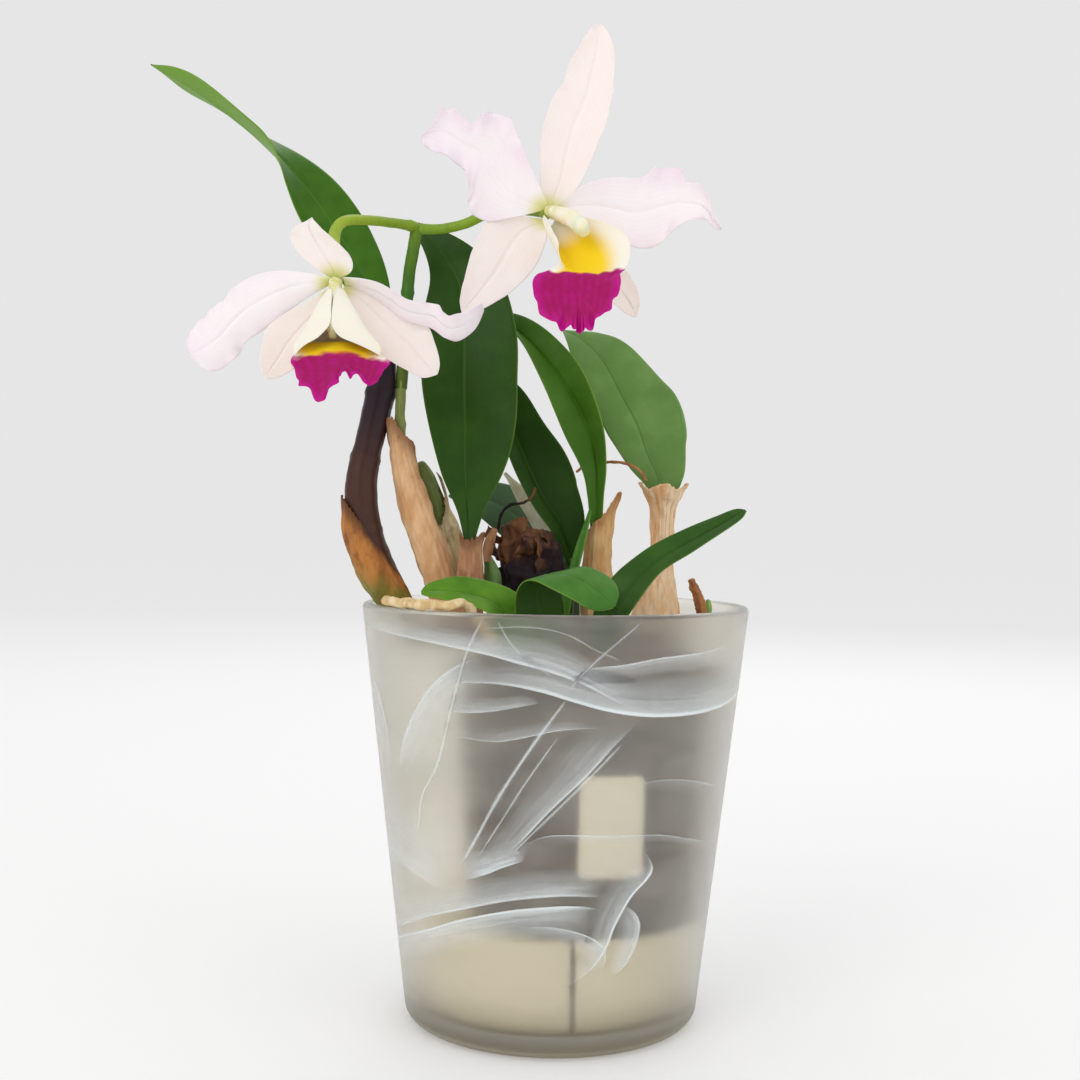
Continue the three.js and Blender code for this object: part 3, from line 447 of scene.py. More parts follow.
# Veils of milky glass lie between a bright edge and a far edge where they fade out. Routes are
# (angle round from the front, height). "edge" is the bright edge's strength, "body" the rest's.
veils = [
    {"near": [(-96, 143), (-70, 142), (-43, 140), (-22, 137), (-11, 134), (-1, 131), (8, 127), (18, 121),
              (28, 117)],
     "far": [(-96, 147), (-70, 147), (-42, 146), (-22, 144), (-11, 144), (-1, 142), (8, 137), (18, 131),
             (28, 126)], "body": 0.6, "edge": 0.35},
    {"near": [(-50, 122), (-34, 126), (-17, 127), (-5, 125), (4, 122), (13, 119), (22, 117), (32, 116),
              (47, 116), (66, 118), (84, 123), (98, 128)],
     "far": [(-48, 131), (-30, 134), (-15, 136), (-5, 137), (4, 134), (13, 132), (22, 131), (31, 131),
             (46, 131), (66, 132), (84, 134), (98, 137)], "body": 0.55, "edge": 0.8},
    {"near": [(4, 130), (10, 133), (18, 134), (30, 136), (44, 137), (60, 139)],
     "far": [(6, 127), (12, 128), (20, 128), (32, 130), (46, 130), (62, 131)], "body": 0.4, "edge": 0.4},
    {"near": [(-20, 136), (-28, 133), (-38, 125), (-46, 115), (-53, 104), (-57, 93)],
     "far": [(-14, 130), (-20, 124), (-27, 116), (-33, 108), (-37, 99), (-40, 90)], "body": 0.4,
     "edge": 0.25},
    {"near": [(-34, 117), (-26, 117), (-18, 118), (-10, 120), (-4, 121.5)],
     "far": [(-36, 123), (-26, 123), (-18, 123), (-10, 124), (-5, 124)], "body": 0.4, "edge": 0.4},
    {"near": [(-34, 109), (-19, 108), (-12, 109), (-1, 112), (6, 113), (14, 113)],
     "far": [(-34, 114), (-19, 113), (-12, 114), (-1, 116), (6, 116), (14, 115)], "body": 0.25, "edge": 0.4},
    {"near": [(24, 115), (17, 107), (10, 98), (-1, 86), (-10, 75), (-14, 71)],
     "far": [(12, 118), (5, 111), (-1, 102), (-10, 89), (-19, 77), (-24, 71)], "body": 0.4, "edge": 0.3},
    {"near": [(-30, 60), (-22, 63), (-16, 66), (-9, 69)],
     "far": [(-33, 69), (-23, 73), (-13, 76), (-6, 75)], "body": 0.8, "edge": 0.2},
    {"near": [(-84, 30), (-66, 37), (-46, 45), (-31, 50), (-14, 55), (0, 57), (10, 57), (16, 56)],
     "far": [(-84, 46), (-66, 50), (-46, 54), (-31, 60), (-8, 66), (4, 67), (13, 67), (20, 67)], "body": 0.5,
     "edge": 0.4},
    {"near": [(-86, 27), (-66, 34), (-46, 41), (-31, 47), (-14, 52), (0, 54), (9, 54), (15, 53)],
     "far": [(-86, 18), (-66, 24), (-46, 30), (-32, 36), (-18, 40), (-2, 42), (7, 42), (13, 41)],
     "body": 0.56, "edge": 0.75},
    {"near": [(-14, 46), (-4, 47), (5, 46), (13, 43), (18, 38), (17, 31)],
     "far": [(-14, 41), (-4, 42), (3, 41), (8, 37), (12, 31), (13, 25)], "body": 0.34, "edge": 0.5},
    {"near": [(29, 72), (33, 66), (32, 62), (26, 56), (21, 47), (18, 39), (13, 32), (3, 25)],
     "far": [(20, 68), (20, 66), (17, 62), (14, 57), (12, 51), (11, 44), (8, 37), (2, 29)], "body": 0.42,
     "edge": 0.85},
    {"near": [(20, 55), (27, 51), (30, 46), (29, 39), (25, 32), (20, 29)],
     "far": [(17, 52), (19, 49), (20, 45), (20, 39), (19, 34), (18, 30)], "body": 0.55, "edge": 0.25},
    {"near": [(-11, 73), (-4, 77), (4, 78), (25, 77), (36, 76), (52, 72), (74, 66)],
     "far": [(-11, 71), (-4, 73), (4, 74), (25, 74), (36, 73), (52, 69), (74, 63)], "body": 0.16,
     "edge": 0.55},
    {"near": [(24, 94), (34, 95), (48, 93), (66, 88)], "far": [(24, 91), (34, 91), (48, 89), (66, 84)],
     "body": 0.12, "edge": 0.28},
    {"near": [(-84, 128), (-68, 122), (-62, 110), (-61, 98)],
     "far": [(-84, 110), (-75, 106), (-70, 100), (-69, 94)], "body": 0.2, "edge": 0.08},
    {"near": [(-82, 58), (-64, 60), (-50, 58), (-36, 54)],
     "far": [(-82, 86), (-62, 86), (-47, 82), (-33, 74)], "body": 0.34, "edge": 0.02},
    {"near": [(95, 140), (130, 120), (165, 128), (200, 112), (240, 124), (285, 138)],
     "far": [(95, 147), (130, 134), (165, 140), (200, 130), (240, 138), (285, 145)], "body": 0.4,
     "edge": 0.6},
    {"near": [(110, 58), (150, 76), (190, 62), (230, 80), (280, 66)],
     "far": [(110, 76), (150, 92), (190, 82), (230, 96), (280, 84)], "body": 0.45, "edge": 0.6},
    {"near": [(100, 40), (140, 30), (180, 46), (220, 34), (260, 48)],
     "far": [(100, 26), (140, 18), (180, 32), (220, 22), (260, 34)], "body": 0.4, "edge": 0.5},
]
# Bright threads: route, width and strength.
threads = [
    {"route": [(-20, 148), (-25, 137), (-30, 121), (-37, 99), (-45, 86), (-49, 70)], "width": 1.3,
     "strength": 0.55},
    {"route": [(-16, 148), (-12, 140), (-6, 134), (-1, 130)], "width": 1.0, "strength": 0.28},
    {"route": [(3, 123), (-5, 110), (-16, 91), (-24, 76), (-30, 66)], "width": 1.5, "strength": 0.75},
    {"route": [(1, 111), (-8, 96), (-16, 82), (-24, 69)], "width": 0.9, "strength": 0.45},
    {"route": [(23, 148), (14, 139), (7, 131), (3, 125)], "width": 1.0, "strength": 0.35},
    {"route": [(20, 109), (10, 97), (3, 89), (-5, 80), (-13, 71)], "width": 1.0, "strength": 0.55},
    {"route": [(-20, 145), (-8, 146), (2, 144), (10, 139), (18, 135)], "width": 0.8, "strength": 0.22},
    {"route": [(120, 148), (150, 110), (172, 70)], "width": 1.3, "strength": 0.6},
    {"route": [(225, 148), (205, 105), (180, 66)], "width": 1.2, "strength": 0.6},
]
glassLean = (glass["rimRadius"] - glass["baseRadius"]) / glass["height"]


def glassRadius(z):
    return glass["baseRadius"] + glassLean * np.asarray(z, float)


def arc(radius, height, size, start, end, steps):
    angles = np.radians(np.linspace(start, end, steps + 1))
    return np.stack([radius + size * np.cos(angles), height + size * np.sin(angles)], -1)


def line(start, end, steps):
    return np.linspace(start, end, steps + 1)[1:-1]


def turned(profile, around):  # a profile of (radius, height) turned round the Z axis
    angles = np.linspace(0, 2 * math.pi, around, endpoint=False)
    radius, height = np.hsplit(np.asarray(profile, float), 2)
    return np.stack([radius * np.sin(angles), -radius * np.cos(angles), height + 0 * angles], -1)


def glassPotShape():
    lean = math.degrees(math.atan(glassLean))
    lip = glass["wall"] / 2
    foot = glassRadius(glass["footRound"]) - glass["footRound"] / math.cos(math.radians(lean))
    level = glass["floor"] + glass["floorRound"]
    corner = glassRadius(level) - glass["wall"] - glass["floorRound"] / math.cos(math.radians(lean))
    footArc = arc(foot, glass["footRound"], glass["footRound"], -90, -lean, 10)
    rimArc = arc(glass["rimRadius"] - lip, glass["height"] - lip, lip, 0, 180, 14)
    floorArc = arc(corner, level, glass["floorRound"], -lean, -90, 8)
    inside = [[40, glass["floor"]], [20, glass["floor"]], [0.05, glass["floor"]]]
    profile = np.concatenate([
        [[0.05, 0], [20, 0], [40, 0]], footArc, line(footArc[-1], rimArc[0], 20), rimArc,
        line(rimArc[-1], floorArc[0], 14), floorArc, inside,
    ])
    return tube(turned(profile, glass["around"]), {"foot": rise(-profile[:, 1:2], -15, -4)})


def onGlass(angle, height, offset):
    angle, radius = np.radians(angle), glassRadius(height) + offset
    return np.stack([radius * np.sin(angle), -radius * np.cos(angle), height], -1)


def veilShape(veil, number):
    count = glass["veilAlong"] + 1
    near, far = (smooth(veil[edge], np.linspace(0, 1, count))[:, None] for edge in ("near", "far"))
    across = np.linspace(0, 1, glass["veilAcross"] + 1) ** 1.6
    path = np.stack([np.linspace(0, 60, count), np.zeros(count), np.full(count, 9.0 * number)], -1)
    drift = 0.12 * lumps(path, 24, number, 2)
    share = (across + drift[:, None] * across * (1 - across))[..., None]
    place = near * (1 - share) + far * share
    grid = onGlass(place[..., 0], place[..., 1], glass["veilOff"] + glass["veilStep"] * number)
    along = np.linspace(0, 1, count)[:, None]
    ends = rise(along, 0, 0.36) * rise(-along, -1, -0.7) * (across > 0)
    body = veil["body"] * glass["veilStrength"] * (1 - across) ** 1.1 * rise(across, 0, 0.05)
    edge = veil["edge"] * np.exp(-(((across - 0.04) / 0.035) ** 2))
    masks = {
        "fade": np.clip((body + edge) * ends, 0, 1),
        "across": across + 0 * along + 3 * number, "along": along + 0 * across,
    }
    return closedSheet(grid, glass["sheet"], masks)


def threadShape(thread, number):
    t = np.linspace(0, 1, 24 * len(thread["route"]) + 1)
    route = smooth(thread["route"], t)
    centre = onGlass(route[:, 0], route[:, 1], 0)
    outward = unit(centre * [1, 1, 0])
    side = np.cross(outward, unit(np.gradient(centre, axis=0)))
    across = np.linspace(-1, 1, 9)
    width = thread["width"] * (0.45 + 0.25 * np.sin(math.pi * t)) * (1 + 0.12 * np.sin(23 * t + number))
    grid = centre[:, None] + side[:, None] * (width[:, None] * across)[..., None]
    grid = grid + outward[:, None] * (glass["threadOff"] + glass["threadStep"] * number)
    ends = rise(np.sin(math.pi * t), 0, 0.4)[:, None]
    fade = thread["strength"] * ends * (0.75 * np.exp(-((across / 0.22) ** 2)) + 0.25 * (1 - across**2))
    masks = {"fade": fade, "across": across + 5.0 * number + 0 * ends, "along": t[:, None] + 0 * across}
    return closedSheet(grid, glass["sheet"], masks)


def frostedGlassLook():
    look = Look("frostedGlass", Roughness=glass["rough"], IOR=1.42, Specular_IOR_Level=0.4)
    cloud = look.ramp(look.noise(30, 4, 0.6, (1, 1, 2.5)), 0.35, 0.75)
    surface = look.mix(look.maths("MULTIPLY", cloud, 0.5), glass["tint"], glass["milk"])
    look.colour(look.mix(look.maths("MULTIPLY", look.mask("foot"), 0.85), surface, glass["foot"]))
    look.link(look.scaled(cloud, -0.08, glass["clearness"]), "Transmission Weight")
    look.bump(look.noise(0.6, 2), 0.08, 0.05)
    clear = look.node("ShaderNodeBsdfTransparent", {"Color": (*glass["shadowTint"], 1)})
    shadow = look.node("ShaderNodeLightPath").outputs["Is Shadow Ray"]
    both = look.node("ShaderNodeMixShader", {0: shadow, 1: look.shader.outputs[0], 2: clear.outputs[0]})
    look.tree.links.new(both.outputs[0], look.output.inputs["Surface"])
    return look.material


def milkyLook(name, colour, strands):  # silky strands that run along the veil
    look = Look(name, Roughness=0.6, Specular_IOR_Level=0.2)
    x = look.maths("MULTIPLY", look.mask("across"), strands)
    y = look.maths("MULTIPLY", look.mask("along"), 2.2)
    flow = look.node("ShaderNodeCombineXYZ", {"X": x, "Y": y}).outputs[0]
    settings = {"Vector": flow, "Scale": 1.0, "Detail": 2.5, "Roughness": 0.55}
    silk = look.node("ShaderNodeTexNoise", settings).outputs["Fac"]
    look.colour(look.mix(silk, colour, glass["silkColour"]))
    density = look.maths("ADD", look.maths("MULTIPLY", look.ramp(silk, 0.25, 0.75), 0.45), 0.52)
    # The milk belongs to the wall, so it casts no shadow on it.
    lit = look.maths("SUBTRACT", 1.0, look.node("ShaderNodeLightPath").outputs["Is Shadow Ray"])
    density = look.maths("MINIMUM", look.maths("MULTIPLY", look.mask("fade"), density), 0.9)
    look.link(look.maths("MULTIPLY", density, lit), "Alpha")
    return look.material


def makeGlassPot():
    makePiece("glass_pot_frosted", glassPotShape(), frostedGlassLook(), "glass_pot")
    shape = joined([veilShape(veil, k) for k, veil in enumerate(veils)])
    makePiece("glass_veils", shape, milkyLook("glassVeil", glass["veilColour"], 8.0), "glass_pot")
    shape = joined([threadShape(thread, k) for k, thread in enumerate(threads)])
    makePiece("glass_threads", shape, milkyLook("glassThread", glass["threadColour"], 1.5), "glass_pot")


makeGlassPot()

print("scene: inner pot, label, blocks and bark")
potLow, potHigh = (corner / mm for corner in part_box("nursery_pot"))
nursery = {
    "centre": ((potLow.x + potHigh.x) / 2, (potLow.y + potHigh.y) / 2, potLow.z),
    "height": potHigh.z - potLow.z, "rimRadius": 48, "baseRadius": 41.5, "wall": 1.2, "bead": 1.4,
    "rings": (0.34, 0.62, 0.80), "around": 96,
    "colour": (0.085, 0.070, 0.064),
}
label = {"width": 22, "height": 35, "sill": 21, "turn": 10, "gap": 0.35, "thick": 0.5, "corner": 2.0}
bark = {"chips": 300, "size": (7.5, 4.6, 2.6), "bed": 33.5, "edge": 43, "drop": 6.0, "seed": 5}


def plasticLook():
    look = Look("nurseryPlastic", Roughness=0.5, Specular_IOR_Level=0.4)
    dust = look.ramp(look.noise(12, 5), 0.4, 0.7)
    look.colour(look.mix(dust, nursery["colour"], (0.13, 0.11, 0.10)))
    look.bump(look.noise(1.2, 3), 0.2, 0.15)
    return look.material


def nurseryPotShape():
    rim, base, wall = nursery["rimRadius"], nursery["baseRadius"], nursery["wall"]
    high, bead = nursery["height"], nursery["bead"]
    profile = np.concatenate([
        [[0.05, 0], [base - 4, 0]], arc(base - 1, 1, 1, -90, 0, 4),
        line((base, 1), (rim - bead, high - 6), 40),
        arc(rim - bead + 0.2, high - 5.6, 0.4, -90, -40, 3), arc(rim, high - 4.2, bead, -60, 0, 5),
        arc(rim + bead - 0.7, high - 0.7, 0.7, 0, 90, 5), arc(rim - wall + 0.5, high - 0.5, 0.5, 90, 180, 4),
        line((rim - wall, high - 1), (base - wall, wall), 20), [[base - wall, wall], [0.05, wall]],
    ])
    ribbed = profile.copy()
    outside = profile[:, 0] > base - 0.5
    for height in nursery["rings"]:  # rings moulded round the wall
        ribbed[:, 0] += 0.5 * np.exp(-(((profile[:, 1] - height * high) / 1.1) ** 2)) * outside
    return tube(turned(ribbed, nursery["around"]), {})


def labelShape():
    u = np.linspace(-1, 1, 25)
    v = np.linspace(-1, 1, 31)[:, None]
    wide, high, corner = label["width"] / 2, label["height"] / 2, label["corner"]
    short = np.maximum(np.abs(v) * high - (high - corner), 0)
    inset = corner - np.sqrt(np.maximum(corner**2 - short**2, 0))
    x = u * (wide - inset)
    height = label["sill"] + high + v * high + 0 * u
    slope = (nursery["rimRadius"] - nursery["baseRadius"]) / nursery["height"]
    radius = nursery["baseRadius"] + slope * height + label["gap"] + 0.55
    angle = np.radians(label["turn"]) + x / radius
    grid = np.stack([radius * np.sin(angle), -radius * np.cos(angle), height], -1)
    return closedSheet(grid, label["thick"], {})


def foamShape(node, side):  # side is -1 for the left block, 1 for the right
    low, high = (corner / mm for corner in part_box(node))
    seam = high.x if side < 0 else low.x
    radius = max(abs(low.x), abs(high.x)) if side > 0 else -low.x
    middle = math.acos(seam / radius)
    sweep = np.linspace(-middle, middle, 61) if side > 0 else np.linspace(middle, 2 * math.pi - middle, 61)
    curve = np.stack([radius * np.cos(sweep), radius * np.sin(sweep)], -1)
    straight = np.linspace(curve[-1], curve[0], 26)[1:-1]
    outline = np.concatenate([curve, straight])
    centre = outline.mean(0)
    rows = [(0, 1.6), (0.3, 0.7), (1.2, 0), *((h, 0) for h in np.linspace(4, high.z - low.z - 4, 10))]
    rows += [(high.z - low.z - 1.2, 0), (high.z - low.z - 0.3, 0.7), (high.z - low.z, 1.6)]
    rings = []
    for height, inset in rows:
        pulled = outline - unit(outline - centre) * inset
        rings.append(np.column_stack([pulled, np.full(len(pulled), low.z + height)]))
    rings = np.array(rings)
    rings[1:-1, :, :2] -= (unit(outline - centre) * (0.25 + 0.25 * lumps(rings, 5, 3)[..., None]))[1:-1]
    return tube(rings, {})


def foamLook():
    look = Look("riserFoam", Roughness=0.95, Specular_IOR_Level=0.1)
    look.colour(look.mix(look.noise(2.5, 4), (0.90, 0.82, 0.64), (0.97, 0.91, 0.77)))
    pores = look.ramp(look.noise(0.9, 2), 0.45, 0.6)
    look.bump(pores, 0.6, 0.4)
    return look.material


def labelLook():
    look = Look("labelCard", Roughness=0.6, Specular_IOR_Level=0.3)
    look.colour(look.mix(look.ramp(look.noise(9, 4), 0.4, 0.7), (0.97, 0.93, 0.83), (0.99, 0.97, 0.90)))
    look.bump(look.noise(0.4, 3), 0.1, 0.05)
    return look.material


def ballPoints():  # a plain round lump to shape into a chip
    work = bmesh.new()
    bmesh.ops.create_icosphere(work, subdivisions=2, radius=1)
    points = np.array([v.co[:] for v in work.verts])
    faces = [[v.index for v in face.verts] for face in work.faces]
    work.free()
    return points, faces


def barkShape():
    random = np.random.default_rng(bark["seed"])
    ball, ballFaces = ballPoints()
    boxy = np.sign(ball) * np.abs(ball) ** 0.55
    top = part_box("bark_mix")[1].z / mm
    shapes = []
    for k in range(bark["chips"]):
        away = bark["edge"] * math.sqrt(random.uniform(0, 1))
        angle = random.uniform(0, 2 * math.pi)
        fall = bark["drop"] * float(rise(away, bark["bed"] - 6, bark["edge"] + 3))
        size = np.array(bark["size"]) * random.uniform(0.6, 1.25, 3)
        chip = boxy * size / 2 * (1 + 0.18 * lumps(boxy + k, 1.3, k, 2)[:, None])
        tilt = Matrix.Rotation(random.uniform(0, 6.3), 3, "Z") @ Matrix.Rotation(random.normal() * 0.35, 3,
                                                                                 "X")
        chip = chip @ np.array(tilt).T
        place = (away * math.cos(angle), away * math.sin(angle), top - 1.4 - fall + random.uniform(-1.2, 1.4))
        shapes.append((chip + place, ballFaces, {"tone": np.full(len(chip), random.uniform(0, 1))}))
    radius = nursery["rimRadius"] - nursery["wall"] - 1.5
    low = nursery["centre"][2] + nursery["wall"] + 0.6
    profile = [[0.05, low], [nursery["baseRadius"] - 3, low], [radius - 1, top - 12], [radius - 5, top - 8],
               [bark["bed"], top - 2.5], [14, top - 2], [0.05, top - 2]]
    rings = turned(smooth(profile, np.linspace(0, 1, 60)), 60)
    rings = rings + 0.8 * lumps(rings, 6, 8)[..., None] * [0, 0, 1] * (rings[..., 2:] > low + 5)
    shapes.append(tube(rings, {"tone": 0.2 + 0 * rings[..., 0]}))
    return moved(joined(shapes), (nursery["centre"][0], nursery["centre"][1], 0))


def barkLook():
    look = Look("barkChips", Roughness=0.95, Specular_IOR_Level=0.15)
    tone = look.maths("ADD", look.mask("tone"), look.maths("MULTIPLY", look.noise(3, 5), 0.5))
    surface = look.mix(look.ramp(tone, 0.2, 1.3), (0.045, 0.022, 0.012), (0.20, 0.105, 0.05))
    look.colour(look.mix(look.ramp(look.noise(1.0, 4), 0.58, 0.7), surface, (0.30, 0.18, 0.10)))
    look.bump(look.noise(1.3, 5, 0.7), 0.9, 0.6)
    return look.material


def makeFilling():
    centre = nursery["centre"]
    makePiece("nursery_pot_moulded", nurseryPotShape(), plasticLook(), "nursery_pot",
              centre)
    makePiece("plant_label_card", labelShape(), labelLook(), "plant_label", centre)
    foam = foamLook()
    for side, sign in (("left", -1), ("right", 1)):
        node = f"foam_riser_{side}"
        makePiece(f"foam_block_{side}", foamShape(node, sign), foam, node)
    makePiece("bark_chips", barkShape(), barkLook(), "bark_mix")


makeFilling()

print("scene: creeping stems, bulbs and sheaths")
creeping = {
    "radius": 3.1,
    "front": [(-56, -4), (-46, -5), (-37, -6), (-30, -12), (-20, -10)],
    "back": [(-33, 8), (-18, 7), (-7, 5), (5, 9), (16, 6), (38, 8), (55, 13)],
}


def creepingStem(route, seed):
    last = len(route) - 1
    rows = [(x, y, 0, creeping["radius"] - (k in (0, last))) for k, (x, y) in enumerate(route)]
    nodes = [k / (3 * last) for k in range(1, 3 * last)]
    return stem(rows, steps=40 * last, around=26, rough=0.35, size=5, seed=seed, rings=nodes, ringHeight=0.5)


bulbs = {
    "bulb_dark": {
        "rows": [(-52.5, -4, 4.2, 3.2), (-57, -6, 12, 5.2), (-64, -8, 23, 6.4), (-69, -9, 36, 6.4),
                 (-70.5, -9, 48, 5.9),
                 (-70.3, -8, 58, 5.6), (-68.5, -6, 68, 5.1), (-66.3, -4, 79, 5.1), (-64.3, -2, 90, 5.2),
                 (-62, 0, 102, 2.4)],
        "slot": "dark_bulb", "look": ((0.075, 0.028, 0.014), (0.060, 0.020, 0.012), (0.014, 0.004, 0.012)),
        "ribs": 7, "ribDepth": 0.15, "rings": (0.34, 0.62, 0.86),
    },
    "bulb_flowering": {
        "rows": [(-37.5, -6, 4, 3.2), (-41, -7, 17, 4.3), (-45, -8, 30, 4.7), (-49, -8, 40, 4.5),
                 (-52, -8, 49, 4.2),
                 (-54.5, -7, 57, 3.4), (-56.3, -6, 65, 2.6), (-57.3, -4.5, 74, 2.0), (-57.3, -3, 85, 1.9),
                 (-57, -2, 94, 1.9)],
        "slot": "green_bulb", "look": ((0.10, 0.13, 0.03), (0.16, 0.22, 0.05), (0.25, 0.30, 0.09)),
        "ribs": 6, "ribDepth": 0.1, "rings": (0.5, 0.8),
    },
    "bulb_green": {
        "rows": [(-30.5, 8, 3.5, 3.6), (-35, 7, 14, 4.8), (-38.5, 6, 27, 5.0), (-42, 6, 38, 4.6),
                 (-45, 6, 48, 3.7),
                 (-48, 6, 57, 2.7), (-51, 6, 63, 1.4)],
        "slot": "green_bulb", "look": ((0.10, 0.13, 0.03), (0.14, 0.20, 0.05), (0.20, 0.26, 0.08)),
        "ribs": 8, "ribDepth": 0.25, "rings": (0.45,),
    },
    "bulb_main": {
        "rows": [(-30.5, -13, 3.5, 3.0), (-31, -15, 12, 3.6), (-30.7, -16, 22, 3.3), (-30.7, -16, 31, 2.0)],
        "slot": "green_bulb", "look": ((0.10, 0.12, 0.03), (0.13, 0.18, 0.05), (0.14, 0.20, 0.06)),
        "ribs": 6, "ribDepth": 0.15, "rings": (0.5,),
    },
    "bulb_centre": {
        "rows": [(-20, -7, 3.5, 3.0), (-22, -7.5, 12, 3.5), (-23, -8, 22, 3.1), (-25, -8, 29, 1.4)],
        "slot": "green_bulb", "look": ((0.07, 0.12, 0.03), (0.10, 0.20, 0.05), (0.13, 0.24, 0.06)),
        "ribs": 6, "ribDepth": 0.15, "rings": (0.5,),
    },
    "bulb_strap": {
        "rows": [(3.5, 17, 3.5, 3.2), (3.5, 17, 13, 3.8), (4.5, 16, 22, 3.0), (6, 14.5, 28.5, 1.8)],
        "slot": "green_bulb", "look": ((0.09, 0.12, 0.03), (0.12, 0.18, 0.05), (0.13, 0.2, 0.06)),
        "ribs": 6, "ribDepth": 0.15, "rings": (0.5,),
    },
    "bulb_arched": {
        "rows": [(16, 6, 3.5, 4.4), (15.5, 6, 14, 5.0), (15, 6, 25, 4.4), (15, 5, 35, 3.0),
                 (14.9, 4.5, 42, 2.0)],
        "slot": "green_bulb", "look": ((0.11, 0.13, 0.03), (0.14, 0.20, 0.05), (0.2, 0.27, 0.07)),
        "ribs": 7, "ribDepth": 0.2, "rings": (0.5,),
    },
    "bulb_right": {
        "rows": [(38, 8, 3.5, 4.6), (38, 8, 14, 5.2), (38.4, 8, 25, 4.2), (39, 8, 36, 3.0),
                 (39.5, 8, 46, 2.4), (39.6, 8.4, 50, 1.8)],
        "slot": "green_bulb", "look": ((0.12, 0.13, 0.04), (0.16, 0.20, 0.06), (0.2, 0.27, 0.08)),
        "ribs": 7, "ribDepth": 0.2, "rings": (0.4, 0.7),
    },
}

sheaths = {
    "sheath_dark": {
        "rows": [(x, y, z, r + 0.7) for x, y, z, r in bulbs["bulb_dark"]["rows"]],
        "span": (-150, 60), "tops": (0.34, 0.46, 0.44, 0.36, 0.2), "slot": "orange_sheath", "tear": 0.008,
        "ridge": 0.12,
        "look": {"pale": (0.50, 0.20, 0.045), "tan": (0.30, 0.10, 0.022), "dark": (0.05, 0.016, 0.008),
                 "green": (0.21, 0.19, 0.03), "greenTop": 0.5,
                 "rough": 0.5, "tip": 0.85},
    },
    "sheath_flowering": {
        "rows": [(-37.5, -6, 4.6, 4.0), (-41, -7, 17, 5.2), (-45, -8, 30, 5.6), (-49, -8, 40, 5.4),
                 (-52, -8, 49, 5.1),
                 (-54.5, -7, 57, 4.5), (-56.4, -6, 65, 3.7), (-57.4, -5, 72, 3.1), (-58, -4.3, 78.5, 2.9)],
        "span": (-170, 160), "tops": (0.8, 0.97, 1, 0.86, 0.77, 0.78), "slot": "papery_sheath", "flare": 1.2,
        "look": {"pale": (0.78, 0.50, 0.28), "tan": (0.62, 0.33, 0.15), "dark": (0.26, 0.11, 0.05),
                 "tip": 0.85},
    },
    "sheath_green": {
        "rows": [(x, y, z, r + 0.7) for x, y, z, r in bulbs["bulb_green"]["rows"]],
        "span": (-30, 100), "tops": (0.5, 0.62, 0.85), "slot": "papery_sheath", "flare": 0.8,
        "look": {"pale": (0.78, 0.66, 0.42), "tan": (0.58, 0.42, 0.20), "dark": (0.24, 0.15, 0.06)},
    },
    "sheath_main": {
        "rows": [(-30.5, -13, 4, 3.8), (-31, -15, 12, 4.4), (-30.7, -16, 22, 4.2), (-30.5, -16, 31, 3.6),
                 (-30, -16, 38, 3.2)],
        "span": (-160, 150), "tops": (0.86, 0.9, 0.88, 1, 0.84), "slot": "papery_sheath", "flare": 1.0,
        "look": {"pale": (0.50, 0.27, 0.14), "tan": (0.33, 0.13, 0.06), "dark": (0.10, 0.035, 0.018),
                 "tip": 0.6},
    },
    "sheath_arched": {
        "rows": [(16, 6, 4, 5.6), (15.5, 6, 14, 5.9), (15.2, 6, 25, 5.2), (15.6, 5, 35, 4.4),
                 (16.8, 4.5, 45, 4.3), (18.5, 4, 54, 4.2)],
        "span": (-120, 190), "tops": (0.55, 0.66, 0.8, 1, 0.86, 0.6), "slot": "papery_sheath", "flare": 0.6,
        "tear": 0.015,
        "look": {"pale": (0.72, 0.47, 0.22), "tan": (0.56, 0.30, 0.11), "dark": (0.28, 0.12, 0.04),
                 "tip": 0.55},
    },
    "sheath_right": {
        "rows": [(37, 8, 4, 8.6), (37.5, 8, 13, 7.6), (38, 8, 23, 5.4), (39, 8, 32, 3.9), (39.5, 8, 42, 3.8),
                 (39.5, 7.6, 50, 4.8), (39.5, 7, 57, 7.2)],
        "span": (-120, 115), "tops": (0.93, 0.99, 0.94, 1, 0.94, 0.99, 0.92), "slot": "papery_sheath",
        "flare": 1.5, "tear": 0.01,
        "look": {"pale": (0.88, 0.68, 0.46), "tan": (0.74, 0.41, 0.18), "dark": (0.34, 0.14, 0.05),
                 "tip": 0.1}, "ridge": 0.3, "crumple": 0.9,
    },
}


def makeBulbs():
    wood = barkLook()
    for name in ("front", "back"):
        plantPiece(f"creeping_stem_{name}", creepingStem(creeping[name], len(name)), wood,
                   f"rhizome_{name}")
    for seed, (name, bulb) in enumerate(bulbs.items()):
        shape = stem(bulb["rows"], steps=90, around=32, ribs=bulb["ribs"], ribDepth=bulb["ribDepth"],
                     rough=0.18, size=9, seed=seed, rings=bulb["rings"], ringHeight=0.35)
        plantPiece(name + "_grown", shape, bulbLook(name + "Skin", *bulb["look"]), name)
    for seed, (name, cover) in enumerate(sheaths.items()):
        shape = sheath(cover["rows"], cover["span"], cover["tops"], flare=cover.get("flare", 0),
                       ridge=cover.get("ridge", 0.16), tear=cover.get("tear", 0.03),
                       crumple=cover.get("crumple", 0.45), seed=40 + seed)
        plantPiece(name + "_dry", shape, sheathLook(name + "Paper", **cover["look"]), name)


makeBulbs()

